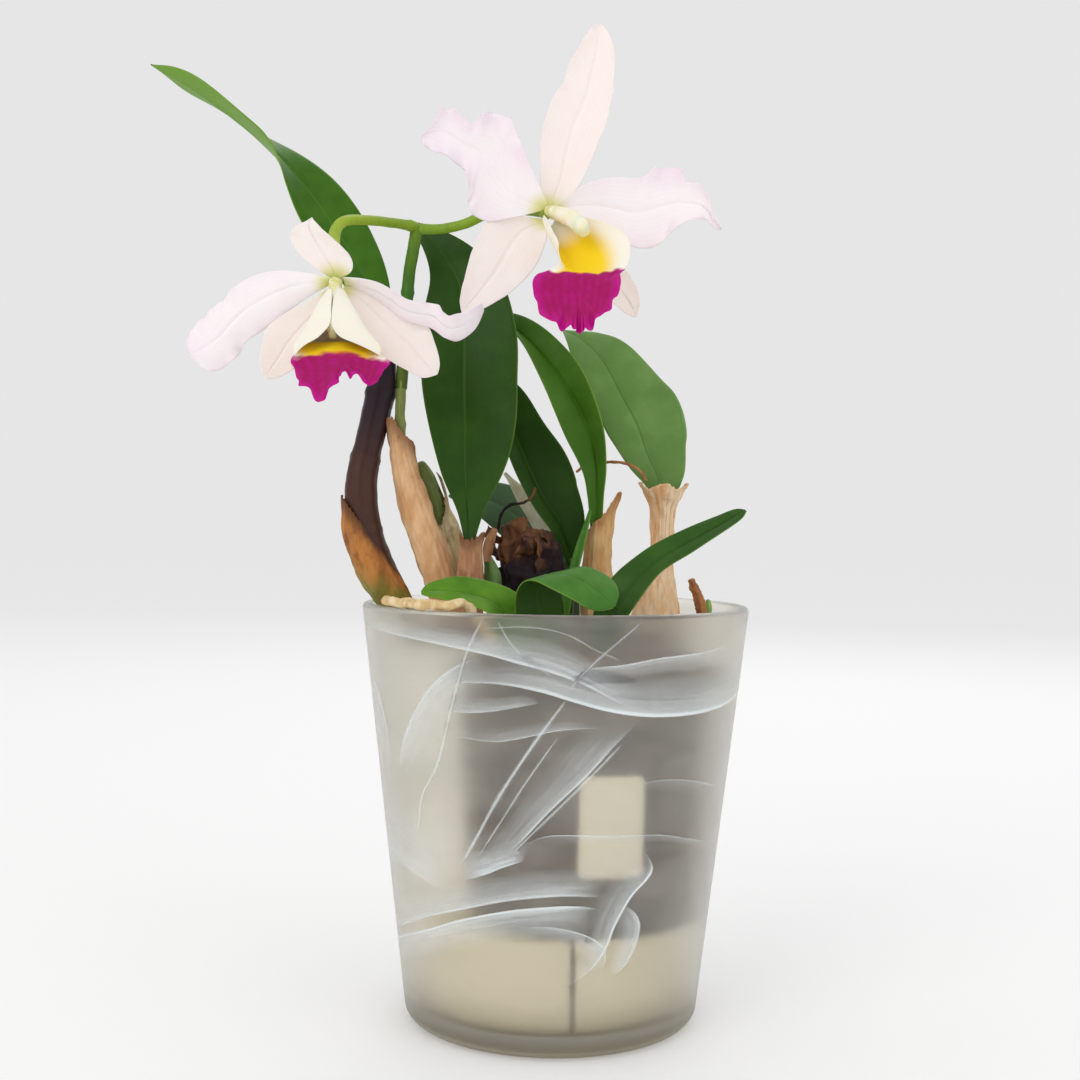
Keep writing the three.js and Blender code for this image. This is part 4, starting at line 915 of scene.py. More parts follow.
dryBits = {
    "curl": {"rows": [(-25, -12.5, 27, 1.4, 1.4, 120), (-24.5, -13, 33, 2.6, 2.6, 160),
                      (-22, -13.5, 39, 1.0, 1.0, 90)],
             "faces": [(0.2, -1, 0), (0.2, -1, 0.3)]},
    "white": {"rows": [(2, 22, -1.5, 2, 2), (1.5, 23, 18, 3, 3), (-4, 24, 36, 3, 3),
                       (-11, 25.5, 49, 3.4, 3.4), (-20, 28, 60, 0.5, 0.5)],
              "faces": [(0, -1, 0), (0.3, -1, 0.3)]},
    "stub": [(55, 13, 3.4, 1.7), (54, 12.6, 12, 1.8), (50.5, 12, 21, 1.2)],
    "shoot": [(54.5, 19, 0.5, 1.4), (56.5, 19.6, 5, 1.8), (58, 20, 9.5, 1.6), (58, 20, 13, 0.6)],
    "oldBulb": [(-8, 4, 3.6, 6.5), (-8, 4, 12, 9), (-8.8, 5, 21, 11.6), (-10.5, 6, 28.5, 11),
                (-14, 6, 34, 7.5), (-18, 6, 41, 2.2)],
    "tendrilLeft": [(-21.5, 1.5, 38), (-20.3, 1, 44), (-17, 0, 47.5), (-12, -1, 48.5), (-9, -1, 51),
                    (-8, -1, 54)],
    "tendrilRight": [(33, 3, 57), (30, 4, 61), (25, 6, 63.5), (19, 8, 64), (12, 8, 63.5), (7, 8, 60)],
    "wire": 0.55, "scraps": 9,
}


def oldBulbShape():
    core = dryBits["oldBulb"]
    points, faces, masks = stem(core, steps=110, around=80, ribs=9, ribDepth=0.5)
    middle = smooth(core, masks["along"])[:, :3]
    outward = unit(points - middle)
    crumple = 1 - np.abs(lumps(points * [1, 1, 0.6], 15, 3, 2)) * 1.6  # folds meet in sharp creases
    creases = 1 - 2 * np.abs(lumps(points * [1, 1, 0.5], 8, 21, 2))
    push = 2.6 * crumple + 0.3 * lumps(points, 3.2, 9, 2) + 0.8 * creases - 1.2
    points = points + outward * (push * rise(masks["along"], 0, 0.15))[:, None]
    random = np.random.default_rng(4)
    shapes = [(points, faces, masks)]
    for k in range(dryBits["scraps"]):  # scraps of dead sheath that stand off the bulb
        t = random.uniform(0.35, 0.92)
        at = smooth(core, np.array([t]))[0]
        angle = random.uniform(-1.7, 1.7)
        out = np.array([math.sin(angle), -math.cos(angle), 0])
        start = at[:3] + out * at[3] * 0.85
        climb = np.array([random.normal() * 0.4, random.normal() * 0.2, random.uniform(0.4, 1)])
        length = random.uniform(6, 10)
        rows = [(*start, 1.5, 1.5, 40), (*(start + unit(climb + out * 0.8) * length * 0.5), 3.6, 3.0, 80),
                (*(start + unit(climb + out * 0.3) * length), 0.4, 0.4, 60)]
        facing = [out + climb * 0.2, out + [0, 0, 0.6]]
        scrap = blade(rows, facing, thick=0.35, steps=16, across=8, groove=0, wave=0.9, waves=2, seed=k)
        scrap[2]["along"] = np.full(len(scrap[0]), t + 0.1)
        shapes.append(scrap)
    return joined(shapes)


def wireShape(route, radius, seed):
    rows = [(x, y, z, radius) for x, y, z in route]
    return stem(rows, steps=70, around=10, rough=0.14, size=3, seed=seed)


def makeDryBits():
    brown = sheathLook("deadBrown", (0.20, 0.085, 0.035), (0.07, 0.026, 0.014), (0.016, 0.006, 0.008),
                       green=(0.014, 0.006, 0.010), greenTop=0.62, rough=0.7)
    red = sheathLook("deadRed", (0.46, 0.20, 0.08), (0.28, 0.10, 0.04), (0.10, 0.04, 0.02))
    paper = sheathLook("palePaper", (0.85, 0.80, 0.72), (0.70, 0.60, 0.46), (0.42, 0.30, 0.18))
    curl = dryBits["curl"]
    shape = blade(curl["rows"], curl["faces"], thick=0.4, steps=40, across=22, groove=0, wave=0.5, waves=3)
    plantPiece("sheath_curl_dry", shape,
               sheathLook("curlPaper", (0.44, 0.24, 0.12), (0.27, 0.12, 0.06), (0.10, 0.045, 0.02)),
               "sheath_curl")
    white = dryBits["white"]
    shape = blade(white["rows"], white["faces"], thick=0.4, steps=60, across=10, groove=0, wave=0.5, waves=5)
    plantPiece("sheath_white_dry", shape, paper, "sheath_white")
    plantPiece("old_bulb_crumpled", oldBulbShape(), brown, "old_bulb")
    shape = stem(dryBits["stub"], steps=50, around=20, ribs=5, ribDepth=0.3, rough=0.4, size=3, seed=2)
    plantPiece("dry_stub_worn", shape, red, "dry_stub")
    plantPiece("tendril_left_wiry", wireShape(dryBits["tendrilLeft"], dryBits["wire"], 1), brown,
               "tendril_left")
    plantPiece("tendril_right_wiry", wireShape(dryBits["tendrilRight"], dryBits["wire"], 2), red,
               "tendril_right")
    green = bulbLook("shootSkin", (0.12, 0.2, 0.04), (0.2, 0.36, 0.07), (0.3, 0.46, 0.1))
    shape = stem(dryBits["shoot"], steps=40, around=20, ribs=3, ribDepth=0.12)
    plantPiece("shoot_tip_fresh", shape, green, "shoot_tip")


makeDryBits()

print("scene: leaves")
# The margin colour is a painted highlight along each leaf's edge.
leafPaint = {  # face, shade, midrib, margin, underside
    # The dark paint is the leaf's own deep green, darkened further with painted shade.
    "dark": leafLook("leafDarkShaded", (0.018, 0.058, 0.004), (0.026, 0.078, 0.006), (0.045, 0.110, 0.012),
                     (0.12, 0.22, 0.03), (0.08, 0.16, 0.03)),
    "tall": leafLook("leafTall", (0.040, 0.130, 0.006), (0.055, 0.165, 0.010), (0.085, 0.22, 0.020),
                     (0.26, 0.42, 0.05), (0.17, 0.33, 0.05)),
    "arched": leafLook("leafArched", (0.045, 0.130, 0.009), (0.060, 0.165, 0.013), (0.14, 0.28, 0.035),
                       (0.24, 0.38, 0.05), (0.12, 0.24, 0.03)),
    # In the fresh and low paints the underside is darker than the face: painted shade under the leaf and inside its
    # curl.
    "fresh": leafLook("leafFresh", (0.052, 0.165, 0.022), (0.075, 0.215, 0.030), (0.035, 0.11, 0.012),
                      (0.26, 0.42, 0.07), (0.028, 0.080, 0.010)),
    "low": leafLook("leafLow", (0.070, 0.200, 0.012), (0.115, 0.28, 0.018), (0.045, 0.14, 0.010),
                    (0.34, 0.50, 0.06), (0.035, 0.095, 0.012)),
    "lance": leafLook("leafLance", (0.026, 0.080, 0.010), (0.036, 0.105, 0.013), (0.055, 0.135, 0.018),
                      (0.16, 0.28, 0.04), (0.05, 0.12, 0.02)),
    "pale": leafLook("leafPale", (0.125, 0.25, 0.060), (0.16, 0.30, 0.080), (0.065, 0.15, 0.035),
                     (0.28, 0.42, 0.14), (0.16, 0.27, 0.09)),
    "grey": leafLook("leafGrey", (0.085, 0.155, 0.080), (0.105, 0.185, 0.10), (0.12, 0.22, 0.11),
                     (0.20, 0.30, 0.15), (0.12, 0.22, 0.11)),
}
leaves = {
    "leaf_tall_left": {
        "rows": [(-61.7, 0, 103, 1.8, 1.8), (-70, 4, 126, 7.8, 7.8), (-79, 7, 142, 11, 11),
                 (-88.5, 6, 156, 11, 11.5),
                 (-99, 0, 168.5, 10.5, 11), (-109, -8, 178, 9.5, 9.5), (-117.5, -16, 184, 8.5, 8.5),
                 (-127, -22, 190, 7, 7), (-135.5, -25, 194.5, 4.5, 4.5), (-143, -26, 198, 0.5, 0.5)],
        "faces": [(0.3, -1, 0.2), (0.3, -1, 0.25), (0.35, -0.95, 0.3), (0.4, -0.9, 0.4), (0.45, -0.6, 0.65),
                  (0.5, -0.15, 0.85),
                  (0.5, 0.15, 0.87), (0.47, 0.3, 0.85), (0.45, 0.35, 0.85), (0.45, 0.35, 0.85)],
        "fold": 0.14, "steps": 130, "paint": "tall", "slot": "dark_leaf", "wave": 0.5,
    },
    "leaf_main": {
        "rows": [(-31, -17, 32.5, 1.5, 1.5), (-32, -15, 45, 3.5, 6.5), (-33, -14, 59, 8.5, 14.5),
                 (-33.3, -12, 74, 12.5, 18.5),
                 (-34, -8, 91, 15, 19.5), (-34.5, -4, 107, 15, 19.5), (-35.5, 1, 123, 13.5, 16),
                 (-40, 6, 135, 8.5, 11),
                 (-47.5, 11, 145, 4.5, 5.5), (-57, 15, 153, 0.6, 0.6)],
        "faces": [(-0.15, -1, 0.1), (-0.1, -1, 0.15), (-0.1, -1, 0.2), (-0.25, -0.9, 0.45)],
        "fold": 0.16, "steps": 110, "across": 30, "paint": "dark", "slot": "dark_leaf", "wave": 0.6,
    },
    "leaf_arched": {
        "rows": [(15, 4.4, 35, 1.8, 1.8), (14.9, 4, 43, 2.4, 2.4), (14.8, 3.6, 52, 3.2, 3.2),
                 (14.4, 2.6, 62, 4.8, 4.8), (11.5, 1.5, 75, 7.5, 7.2),
                 (5, 1, 88, 8, 7.5), (-4, 3, 100, 7.5, 7), (-13, 7, 109.5, 6, 6), (-22, 13, 116, 4, 4),
                 (-30, 20, 119.5, 0.5, 0.5)],
        "faces": [(-0.3, -1, 0.1), (-0.35, -1, 0.15), (-0.45, -0.9, 0.35), (0.2, -0.8, 0.7),
                  (0.4, -0.4, 0.9)],
        "fold": 0.7, "paint": "arched", "slot": "dark_leaf", "wave": 0.3,
    },
    "leaf_strap": {
        "rows": [(6.5, 14, 25, 1.8, 1.8), (1.5, 13, 40, 5, 9), (-5, 12, 50, 6.5, 13), (-11, 13, 62, 7, 13.5),
                 (-16.5, 15.5, 75, 6.5, 11), (-21.5, 20, 89, 4.5, 7.5), (-26, 27, 102, 0.5, 0.5)],
        "faces": [(0.3, -1, 0.2), (0.35, -0.9, 0.35), (0.4, -0.8, 0.5)],
        "fold": 0.45, "paint": "dark", "slot": "dark_leaf", "wave": 0.3,
    },
    "leaf_light": {
        "rows": [(39.6, 9, 47, 2, 2), (37.5, 10.5, 58, 5.5, 10.5), (33.5, 10.5, 67, 8.5, 15.5),
                 (29.5, 10.5, 78, 11.5, 17.5),
                 (24.8, 13, 87, 11.5, 16.5), (17, 19, 102, 11, 12), (10, 26.5, 110, 7.5, 7.5),
                 (1.8, 33, 115.5, 0.6, 0.6)],
        "faces": [(-0.1, -1, 0.05), (-0.1, -1, 0.15), (0, -0.9, 0.5), (0, -0.7, 0.7)],
        "fold": 0.12, "across": 28, "paint": "pale", "slot": "pale_leaf", "wave": 0.5,
    },
    "leaf_lance": {
        "rows": [(15, -30, -3, 4, 4), (18.5, -33, 8, 6.8, 6.8), (25, -32, 19, 7.4, 7.4),
                 (34, -28, 28, 6.2, 6.2),
                 (46, -24, 35, 5.2, 5.2), (57, -20.5, 41, 4.2, 4.2), (63.5, -18.8, 44.8, 2.6, 2.6),
                 (66.5, -18, 46.5, 0.6, 0.6)],
        "faces": [(-0.6, -0.7, 0.3), (-0.4, -0.8, 0.6), (-0.3, -0.75, 0.7)],
        "fold": 0.25, "paint": "lance", "slot": "dark_leaf", "wave": 0.3,
    },
    "leaf_curled": {
        "rows": [(-3.5, -32, -3, 6, 6), (-6, -37, 10, 9, 8.5), (-7, -40.5, 18.5, 8.5, 8),
                 (-4, -44.5, 23.5, 8.5, 8),
                 (3, -49, 24, 9.5, 9), (9.5, -53, 21.5, 9.5, 9), (14, -56, 18.3, 8, 7.5),
                 (17, -57.2, 15.6, 4.8, 4.6), (18.5, -57.5, 14, 0.8, 0.8)],
        "faces": [(-0.3, 1, 0.1), (-0.4, 0.7, 0.6), (-0.1, -0.4, 1), (0.2, -0.8, 0.7), (0.3, -0.9, 0.4)],
        "fold": -0.12, "paint": "fresh", "slot": "fresh_leaf", "wave": 0.3,
    },
    "leaf_low": {
        "rows": [(-14, -32, -3, 5, 5), (-16, -38, 8, 7.5, 7.5), (-22, -42, 14.5, 8, 8),
                 (-33, -45, 17.5, 7.4, 7.4),
                 (-41.5, -46.2, 17.8, 4.8, 4.8), (-45.5, -46.5, 17.3, 0.8, 0.8)],
        "faces": [(-0.3, -0.9, 0.1), (0.2, -0.65, 0.9), (0.1, -0.6, 1)],
        "fold": 0.15, "paint": "low", "slot": "fresh_leaf", "wave": 0.2,
    },
    "leaf_back": {
        "rows": [(7, 27, -3, 3, 3), (3, 30, 18, 6, 6), (-4, 31.5, 32, 9, 9), (-12, 33, 41, 10.5, 10.5),
                 (-23, 35.5, 48, 9.5, 9.5), (-34, 38, 51, 6, 6), (-42, 39, 51, 0.5, 0.5)],
        "faces": [(0, -1, 0.1), (0, -0.9, 0.4), (0.2, -0.8, 0.6)],
        "fold": 0.12, "paint": "grey", "slot": "pale_leaf", "wave": 0.2,
    },
    "leaf_young": {
        "rows": [(3, -3.5, 3.6, 1.6, 1.6), (4.5, -4, 14, 2, 2), (7, -3.5, 25, 1.9, 1.9),
                 (9.8, -2.5, 36, 1.5, 1.5), (12.2, -2, 46, 0.5, 0.5)],
        "faces": [(-0.5, -1, 0), (-0.6, -1, 0.1)],
        "fold": 0.5, "paint": "fresh", "slot": "fresh_leaf", "wave": 0.1,
    },
}


def makeLeaves():
    for seed, (name, leaf) in enumerate(leaves.items()):
        shape = blade(leaf["rows"], leaf["faces"], leaf["fold"], steps=leaf.get("steps", 90),
                      across=leaf.get("across", 24), wave=leaf["wave"], seed=seed)
        plantPiece(name + "_grown", shape, leafPaint[leaf["paint"]], name)


makeLeaves()

print("scene: flower stalk and roots")
stalks = {
    "flower_stalk": {"rows": [(-57.2, -2.4, 88, 2.1), (-56.6, -1.4, 101, 2.2), (-56, -0.5, 114, 2.2),
                              (-55, 0, 131, 2.2), (-53, -2, 142, 2.2), (-52, -3, 148.5, 2.4)],
                     "rings": (0.52,), "look": ((0.10, 0.16, 0.02), (0.05, 0.15, 0.01), (0.12, 0.24, 0.015))},
    "flower_stem_left": {"rows": [(-51.6, -3.2, 147.6, 1.9), (-60, -8, 148, 1.8), (-69, -16, 147.3, 1.8),
                                  (-75.5, -23, 145.5, 1.9),
                                  (-78.3, -27.5, 141, 2.0), (-78.4, -29.5, 134, 2.2), (-77.5, -31, 127, 2.3),
                                  (-77, -33.5, 122.5, 2.5)],
                         "rings": (0.06,), "look": ((0.22, 0.34, 0.02), (0.32, 0.44, 0.03),
                                                    (0.48, 0.55, 0.16))},
    "flower_stem_right": {"rows": [(-53, -3, 147, 1.9), (-44, -3, 147, 1.8), (-35, -5, 148.5, 1.8),
                                   (-26, -9, 151.5, 1.8),
                                   (-15, -17, 151.5, 1.9), (-7.5, -25.2, 149.4, 2.1), (-5, -29.6, 148, 2.4)],
                          "rings": (0.06,), "look": ((0.20, 0.34, 0.02), (0.24, 0.38, 0.02),
                                                     (0.26, 0.34, 0.04))},
}
rootRun = {
    "radius": 1.6, "gap": 0.35, "climb": ((-0.3, -0.6), (-0.38, -0.72), (-0.44, -0.83)),
    "angles": (239, 232, 226, 220, 214, 210),
}


def makeStalks():
    for seed, (name, stalk) in enumerate(stalks.items()):
        look = bulbLook(name + "Skin", *stalk["look"], gloss=0.38)
        shape = stem(stalk["rows"], steps=100, around=24, ribs=5, ribDepth=0.06, rough=0.08, size=6,
                     seed=seed,
                     rings=stalk["rings"], ringHeight=0.3)
        plantPiece(name + "_grown", shape, look, name)


def aerialRootShape():
    lie = glass["height"] + rootRun["radius"] + rootRun["gap"]
    middle = glass["rimRadius"] - glass["wall"] / 2
    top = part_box("bark_mix")[1].z / mm
    climb = [(x * middle, y * middle) for x, y in rootRun["climb"]]
    heights = (top + rootRun["radius"] + 2, glass["height"] - 4, lie + 0.4)
    route = [(x, y, z) for (x, y), z in zip(climb, heights)]
    bends = [math.radians(angle) for angle in rootRun["angles"]]
    route += [(middle * math.cos(bend), middle * math.sin(bend), lie) for bend in bends]
    rows = [(*point, rootRun["radius"]) for point in route]
    main = stem(rows, steps=150, around=24, rough=0.5, size=6, seed=6)
    x, y, z = route[4]
    side = [(x + 1.5, y - 0.4, z - 0.1, 1.3), (x - 2.5, y - 1.6, z + 0.1, 1.7),
            (x - 5.5, y - 0.8, z + 0.3, 1.5), (x - 7, y + 1, z + 0.2, 1.0)]
    return joined([main, stem(side, steps=60, around=20, rough=0.35, size=4, seed=9)])


def rootLook():
    look = Look("aerialRoot", Roughness=0.75, Specular_IOR_Level=0.3)
    surface = look.mix(look.ramp(look.noise(4, 4), 0.35, 0.65), (0.62, 0.42, 0.18), (0.82, 0.66, 0.40))
    tip = look.ramp(look.mask("along"), 0.9, 1.0)
    look.colour(look.mix(look.maths("MULTIPLY", tip, 0.8), surface, (0.42, 0.17, 0.05)))
    look.bump(look.noise(0.8, 4), 0.5, 0.3)
    return look.material


makeStalks()
makePiece("aerial_root_knobbly", aerialRootShape(), rootLook(), "aerial_root")

print("scene: flowers")
petalPaint = {
    "petal": petalLook("petalBlush", (0.94, 0.88, 0.89), (0.87, 0.71, 0.80), (0.66, 0.68, 0.16)),
    "sepal": petalLook("sepalCream", (0.93, 0.83, 0.79), (0.88, 0.70, 0.68), (0.66, 0.68, 0.16)),
    "lip": lipLook("lipMagenta", (0.93, 0.88, 0.76), (0.95, 0.66, 0.01), (0.80, 0.14, 0.02),
                   (0.36, 0.0, 0.105), (0.52, 0.002, 0.25)),
}
# An outline is two edges of (across, height) from the flower's middle; depth is how far back it lies.
flowers = {
    "left_flower": {
        "centre": (-77, -34, 122),
        "sepal_top": {
            "right": [(1.5, 2), (5.5, 3.6), (6.1, 7), (3.4, 11), (-3.5, 17), (-6.9, 20.5), (-8, 22)],
            "left": [(-2, 2), (-6.7, 4.8), (-11.9, 9.1), (-15, 14.2), (-13.7, 18.2), (-10.3, 20.3),
                     (-8.4, 21.8)],
            "depth": [0, -2.5, -3.5, -4, -2.5], "tilt": 0.5, "cup": 2.0, "frill": 0.2, "paint": "sepal",
            "blush": 0.25,
        },
        "petal_left": {
            "right": [(-1.5, 1.8), (-14.7, 3.8), (-23.2, 3), (-31.6, -0.8), (-36.6, -6.2), (-40.9, -10.4),
                      (-44.9, -14.5), (-48.6, -19.4), (-48.9, -24)],
            "left": [(-1.5, 0), (-11.2, -5.9), (-17.9, -11.7), (-24.6, -16.9), (-29.7, -21), (-33, -26.4),
                     (-38, -30.2), (-43.6, -30.4), (-48.9, -25)],
            "depth": [-0.8, -3, -5, -6.5, -7.5, -7.5, -7], "tilt": 2.5, "cup": -1.5, "frill": 0.7,
            "paint": "petal", "blush": 0.7,
        },
        "petal_right": {
            "right": [(3, 1.6), (9, 1.2), (14.7, -0.1), (19.7, -2.7), (24.8, -5.9), (29.8, -7.6),
                      (35.5, -8.3), (38, -11.5), (41, -13), (46.6, -11.4), (51, -9.3)],
            "left": [(3, -0.2), (8, -2), (13, -4.6), (18.3, -8.2), (22.5, -11.8), (27.5, -13.6),
                     (33.4, -15.6), (38.5, -19.3), (42.8, -20.4), (48.4, -16.9), (51.4, -10.6)],
            "depth": [-0.6, -2, -4.5, -8, -13, -18, -20], "tilt": 7, "cup": -1.0, "frill": 0.9,
            "paint": "petal", "blush": 0.9,
        },
        "sepal_left": {
            "right": [(-0.5, -2), (-1.5, -10), (-4.5, -18), (-9, -26), (-13, -30.5), (-17.5, -33.3),
                      (-20.6, -33.9)],
            "left": [(-2, -1), (-10, -6.5), (-17, -11), (-22.1, -16), (-23.6, -23), (-23.7, -29),
                     (-21.4, -33.7)],
            "depth": [1, -1.5, -5, -9, -12.5], "tilt": 1, "cup": 2.2, "frill": 0.15, "paint": "sepal",
            "blush": 0.2,
        },
        "sepal_right": {
            "right": [(3.6, 0.6), (12, -1.5), (20, -6), (27, -10), (31.8, -14.3), (34.6, -20.7), (36.3, -27),
                      (35.8, -31)],
            "left": [(2, -2), (5.4, -9), (9, -15), (12.8, -21.2), (18, -25.7), (24.4, -29.3), (30.5, -32.3),
                     (35.4, -31.4)],
            "depth": [1.6, 1, -1.5, -5, -8.5], "tilt": -1, "cup": 2.2, "frill": 0.2, "paint": "sepal",
            "blush": 0.2,
        },
        "lip": {
            "net": [
                [(-0.6, -6, -2), (-2.5, -3.5, -3), (-1.5, -0.5, -4), (0.4, 0.8, -4.5), (2, -0.5, -4),
                 (3.4, -3.5, -3), (1.2, -6, -2)],
                [(0.2, -11.5, -8), (-5.4, -9, -9.5), (-3.6, -2, -12), (0.8, -0.5, -12.5), (5, -2, -12),
                 (7.4, -9, -9.5), (0.6, -11.3, -8)],
                [(0, -17, -17), (-8.2, -14.5, -17.5), (-6, -5, -19.5), (1.8, -3.5, -20), (9.4, -5, -19.5),
                 (12.2, -14.5, -17.5), (1.4, -16.8, -17)],
                [(-4.6, -21.5, -21.8), (-11, -18.5, -23.5), (-7, -13, -22.5), (3.5, -12.5, -21.5),
                 (12, -13, -22.5), (17.4, -18.5, -23.5), (6.6, -21.5, -21.3)],
                [(-10.6, -23.5, -27.5), (-9, -22.5, -27.6), (-4, -21, -26.6), (5, -20.5, -25.6),
                 (11.5, -21, -26.6), (17, -22.5, -28), (20.4, -23.5, -28)],
                [(-9.4, -26, -33), (-7, -25.5, -32.5), (-1.5, -24.5, -31), (6, -24.5, -30),
                 (12.5, -24.5, -31), (16.4, -25.5, -32), (19.8, -25, -31.5)],
                [(-6.5, -27, -37), (-3.8, -29, -38.8), (0.2, -30.5, -42.4), (5.6, -29, -34), (11, -29.5, -34),
                 (14.9, -29, -37.2), (17.6, -27, -34)],
            ],
            "flare": (0.63, 0.72), "throat": (0.42, 0.66), "throatHalf": 0.5, "frill": 0.9, "seed": 1,
        },
        "column": [(0.2, -1.5, 0.5, 2.6), (0.3, -5, -5, 2.5), (0.5, -8, -11, 2.4), (0.8, -11, -16, 2.4),
                   (0.9, -13, -19.5, 1.6)],
    },
    "right_flower": {
        "centre": (-5, -30, 148),
        "sepal_top": {
            "right": [(2.6, 2), (6, 4.2), (11.1, 10.1), (15.1, 18.8), (17.8, 25.7), (20.1, 31.5),
                      (21.7, 39.5), (22.4, 46.4), (22.5, 55), (20.7, 62.5), (17.6, 66.6)],
            "left": [(0, 2.6), (-2.2, 6.5), (-2.7, 13), (-2.9, 22), (-1.3, 32.3), (1.6, 40), (4.4, 44.2),
                     (6.2, 50.3), (9.7, 57.2), (13.6, 63.8), (17, 66.4)],
            "depth": [1.5, 1.5, 1, 1.5, 2.5, 3.5, 4.5], "tilt": -1, "cup": 2.0, "frill": 0.45,
            "paint": "sepal", "blush": 0.35,
        },
        "petal_left": {
            "right": [(0, 2.6), (-2.7, 8.2), (-6.2, 15.5), (-9.7, 23.3), (-13, 30), (-18, 32), (-22, 31),
                      (-26.8, 28.4), (-31.5, 32), (-36, 32.2), (-38.5, 28), (-42.6, 23.8)],
            "left": [(-1.5, 0.8), (-11.1, -2), (-19.5, -3.9), (-24.9, -2.2), (-27.2, 1.2), (-26.6, 6),
                     (-28.5, 12.2), (-33.4, 16.4), (-38.5, 18.2), (-42, 20.4), (-42.9, 23)],
            "depth": [-0.6, -2.5, -4.5, -6.5, -8, -9, -9], "tilt": 2, "cup": 1.8, "frill": 1.1,
            "paint": "petal", "blush": 0.9,
        },
        "petal_right": {
            "right": [(2.5, 2), (7.6, 5.8), (14.4, 9.8), (22.9, 11.8), (30.5, 11.5), (34.9, 13.8), (40, 15.4),
                      (44.6, 14.4), (47, 10.7), (52.1, 7.9), (55, 2.8), (56.6, -2.4), (59.1, -6)],
            "left": [(2.5, 0.4), (10, -2), (18, -5.2), (24.6, -9.6), (29.6, -11.9), (35.2, -11.9),
                     (40.3, -9.5), (43.6, -5.6), (48.7, -3.2), (53.4, -2.6), (57, -6), (59, -6.6)],
            "depth": [-0.8, -1.5, -2, -3, -5, -7, -8], "tilt": 2, "cup": 1.6, "frill": 1.1, "paint": "petal",
            "blush": 0.9,
        },
        "sepal_left": {
            "right": [(0.2, -4), (-0.2, -9), (-1.8, -15), (-4.6, -20.5), (-10.7, -27.4), (-18.6, -33),
                      (-24.5, -35.9), (-28.1, -37)],
            "left": [(-2, -1.8), (-13, -1.5), (-20.4, -4), (-24, -10.2), (-26.5, -18), (-28.2, -25.5),
                     (-29.3, -31.5), (-28.5, -36.7)],
            "depth": [1, -1.5, -4.5, -7, -9], "tilt": 1.5, "cup": 2.6, "frill": 0.3, "paint": "sepal",
            "blush": 0.2,
        },
        "sepal_right": {
            "right": [(3, -1.8), (12, -6), (20.5, -11.5), (27.5, -18), (31.6, -24), (32.8, -29.5),
                      (31.8, -34)],
            "left": [(1.6, -4), (6.5, -12), (12.5, -19.5), (19, -26), (24, -30), (28, -33), (31.2, -34.2)],
            "depth": [2.4, 5, 7.5, 9, 10], "tilt": 0, "cup": 2.0, "frill": 0.2, "paint": "sepal",
            "blush": 0.3,
        },
        "lip": {
            "net": [
                [(-1.2, -3, -1.4), (-1.4, -1.6, -3.2), (0.2, -0.6, -4.6), (1.6, -0.6, -4.4),
                 (2.8, -1.2, -2.6), (3.6, -2, -0.8), (3.4, -3, 0.6)],
                [(0.2, -9, -4.4), (-0.2, -6.5, -7.2), (1.6, -4.2, -9.4), (4.4, -4.2, -9.8), (7.6, -5, -7.6),
                 (10, -6, -4.6), (10.4, -7.6, -2.2)],
                [(2.2, -14.5, -9.6), (2, -12, -12.8), (4, -9.5, -15), (7.6, -9.4, -15.4), (12.6, -10, -12.6),
                 (17.4, -11, -9), (19.6, -12.4, -5.6)],
                [(3.8, -19.5, -15.4), (4, -17.4, -18.2), (6, -15, -20), (9.4, -14.8, -20.8),
                 (15.2, -15, -18.4), (21.6, -15.6, -14.6), (26.6, -16.6, -11)],
                [(3.6, -24, -21.6), (5, -22.6, -22.6), (7.4, -21.2, -23.2), (10.4, -21, -23.6),
                 (15.8, -20.6, -23), (22.4, -20.4, -20.8), (27.4, -20.4, -18.4)],
                [(-3.2, -27.5, -26.2), (1.4, -26.6, -26), (6.2, -25.4, -25.4), (10.6, -25, -25.6),
                 (15.4, -25, -26), (20.4, -25.2, -26), (24.4, -25.4, -25.2)],
                [(-4.2, -29.6, -32.4), (0.8, -28.6, -32), (5.6, -28.2, -31.6), (10.4, -28, -31.8),
                 (15, -28.2, -31.8), (19.4, -28.6, -31.4), (23.4, -29, -30.6)],
                [(-1.8, -31, -38), (2.2, -30.4, -37.6), (6.4, -30, -37.8), (10.6, -30, -38),
                 (14.4, -30.2, -37.8), (17.8, -30.4, -37), (21, -31, -35.8)],
                [(1.8, -32, -42.2), (4.4, -32.2, -43.6), (7.6, -32.2, -43.2), (10.6, -32.4, -45),
                 (13.2, -32.2, -44), (15.8, -31.8, -42.2), (18.4, -31.6, -39)],
            ],
            "flare": (0.565, 0.60), "throat": (0.16, 0.56), "throatHalf": 0.56, "frill": 1.2, "seed": 2,
        },
        "column": [(0.8, -2, 0, 2.4), (4.4, -8, -2.2, 2.9), (8.2, -13, -4.6, 3.2), (11, -16.5, -7.6, 3.2),
                   (12.6, -18, -10.4, 1.9)],
    },
}


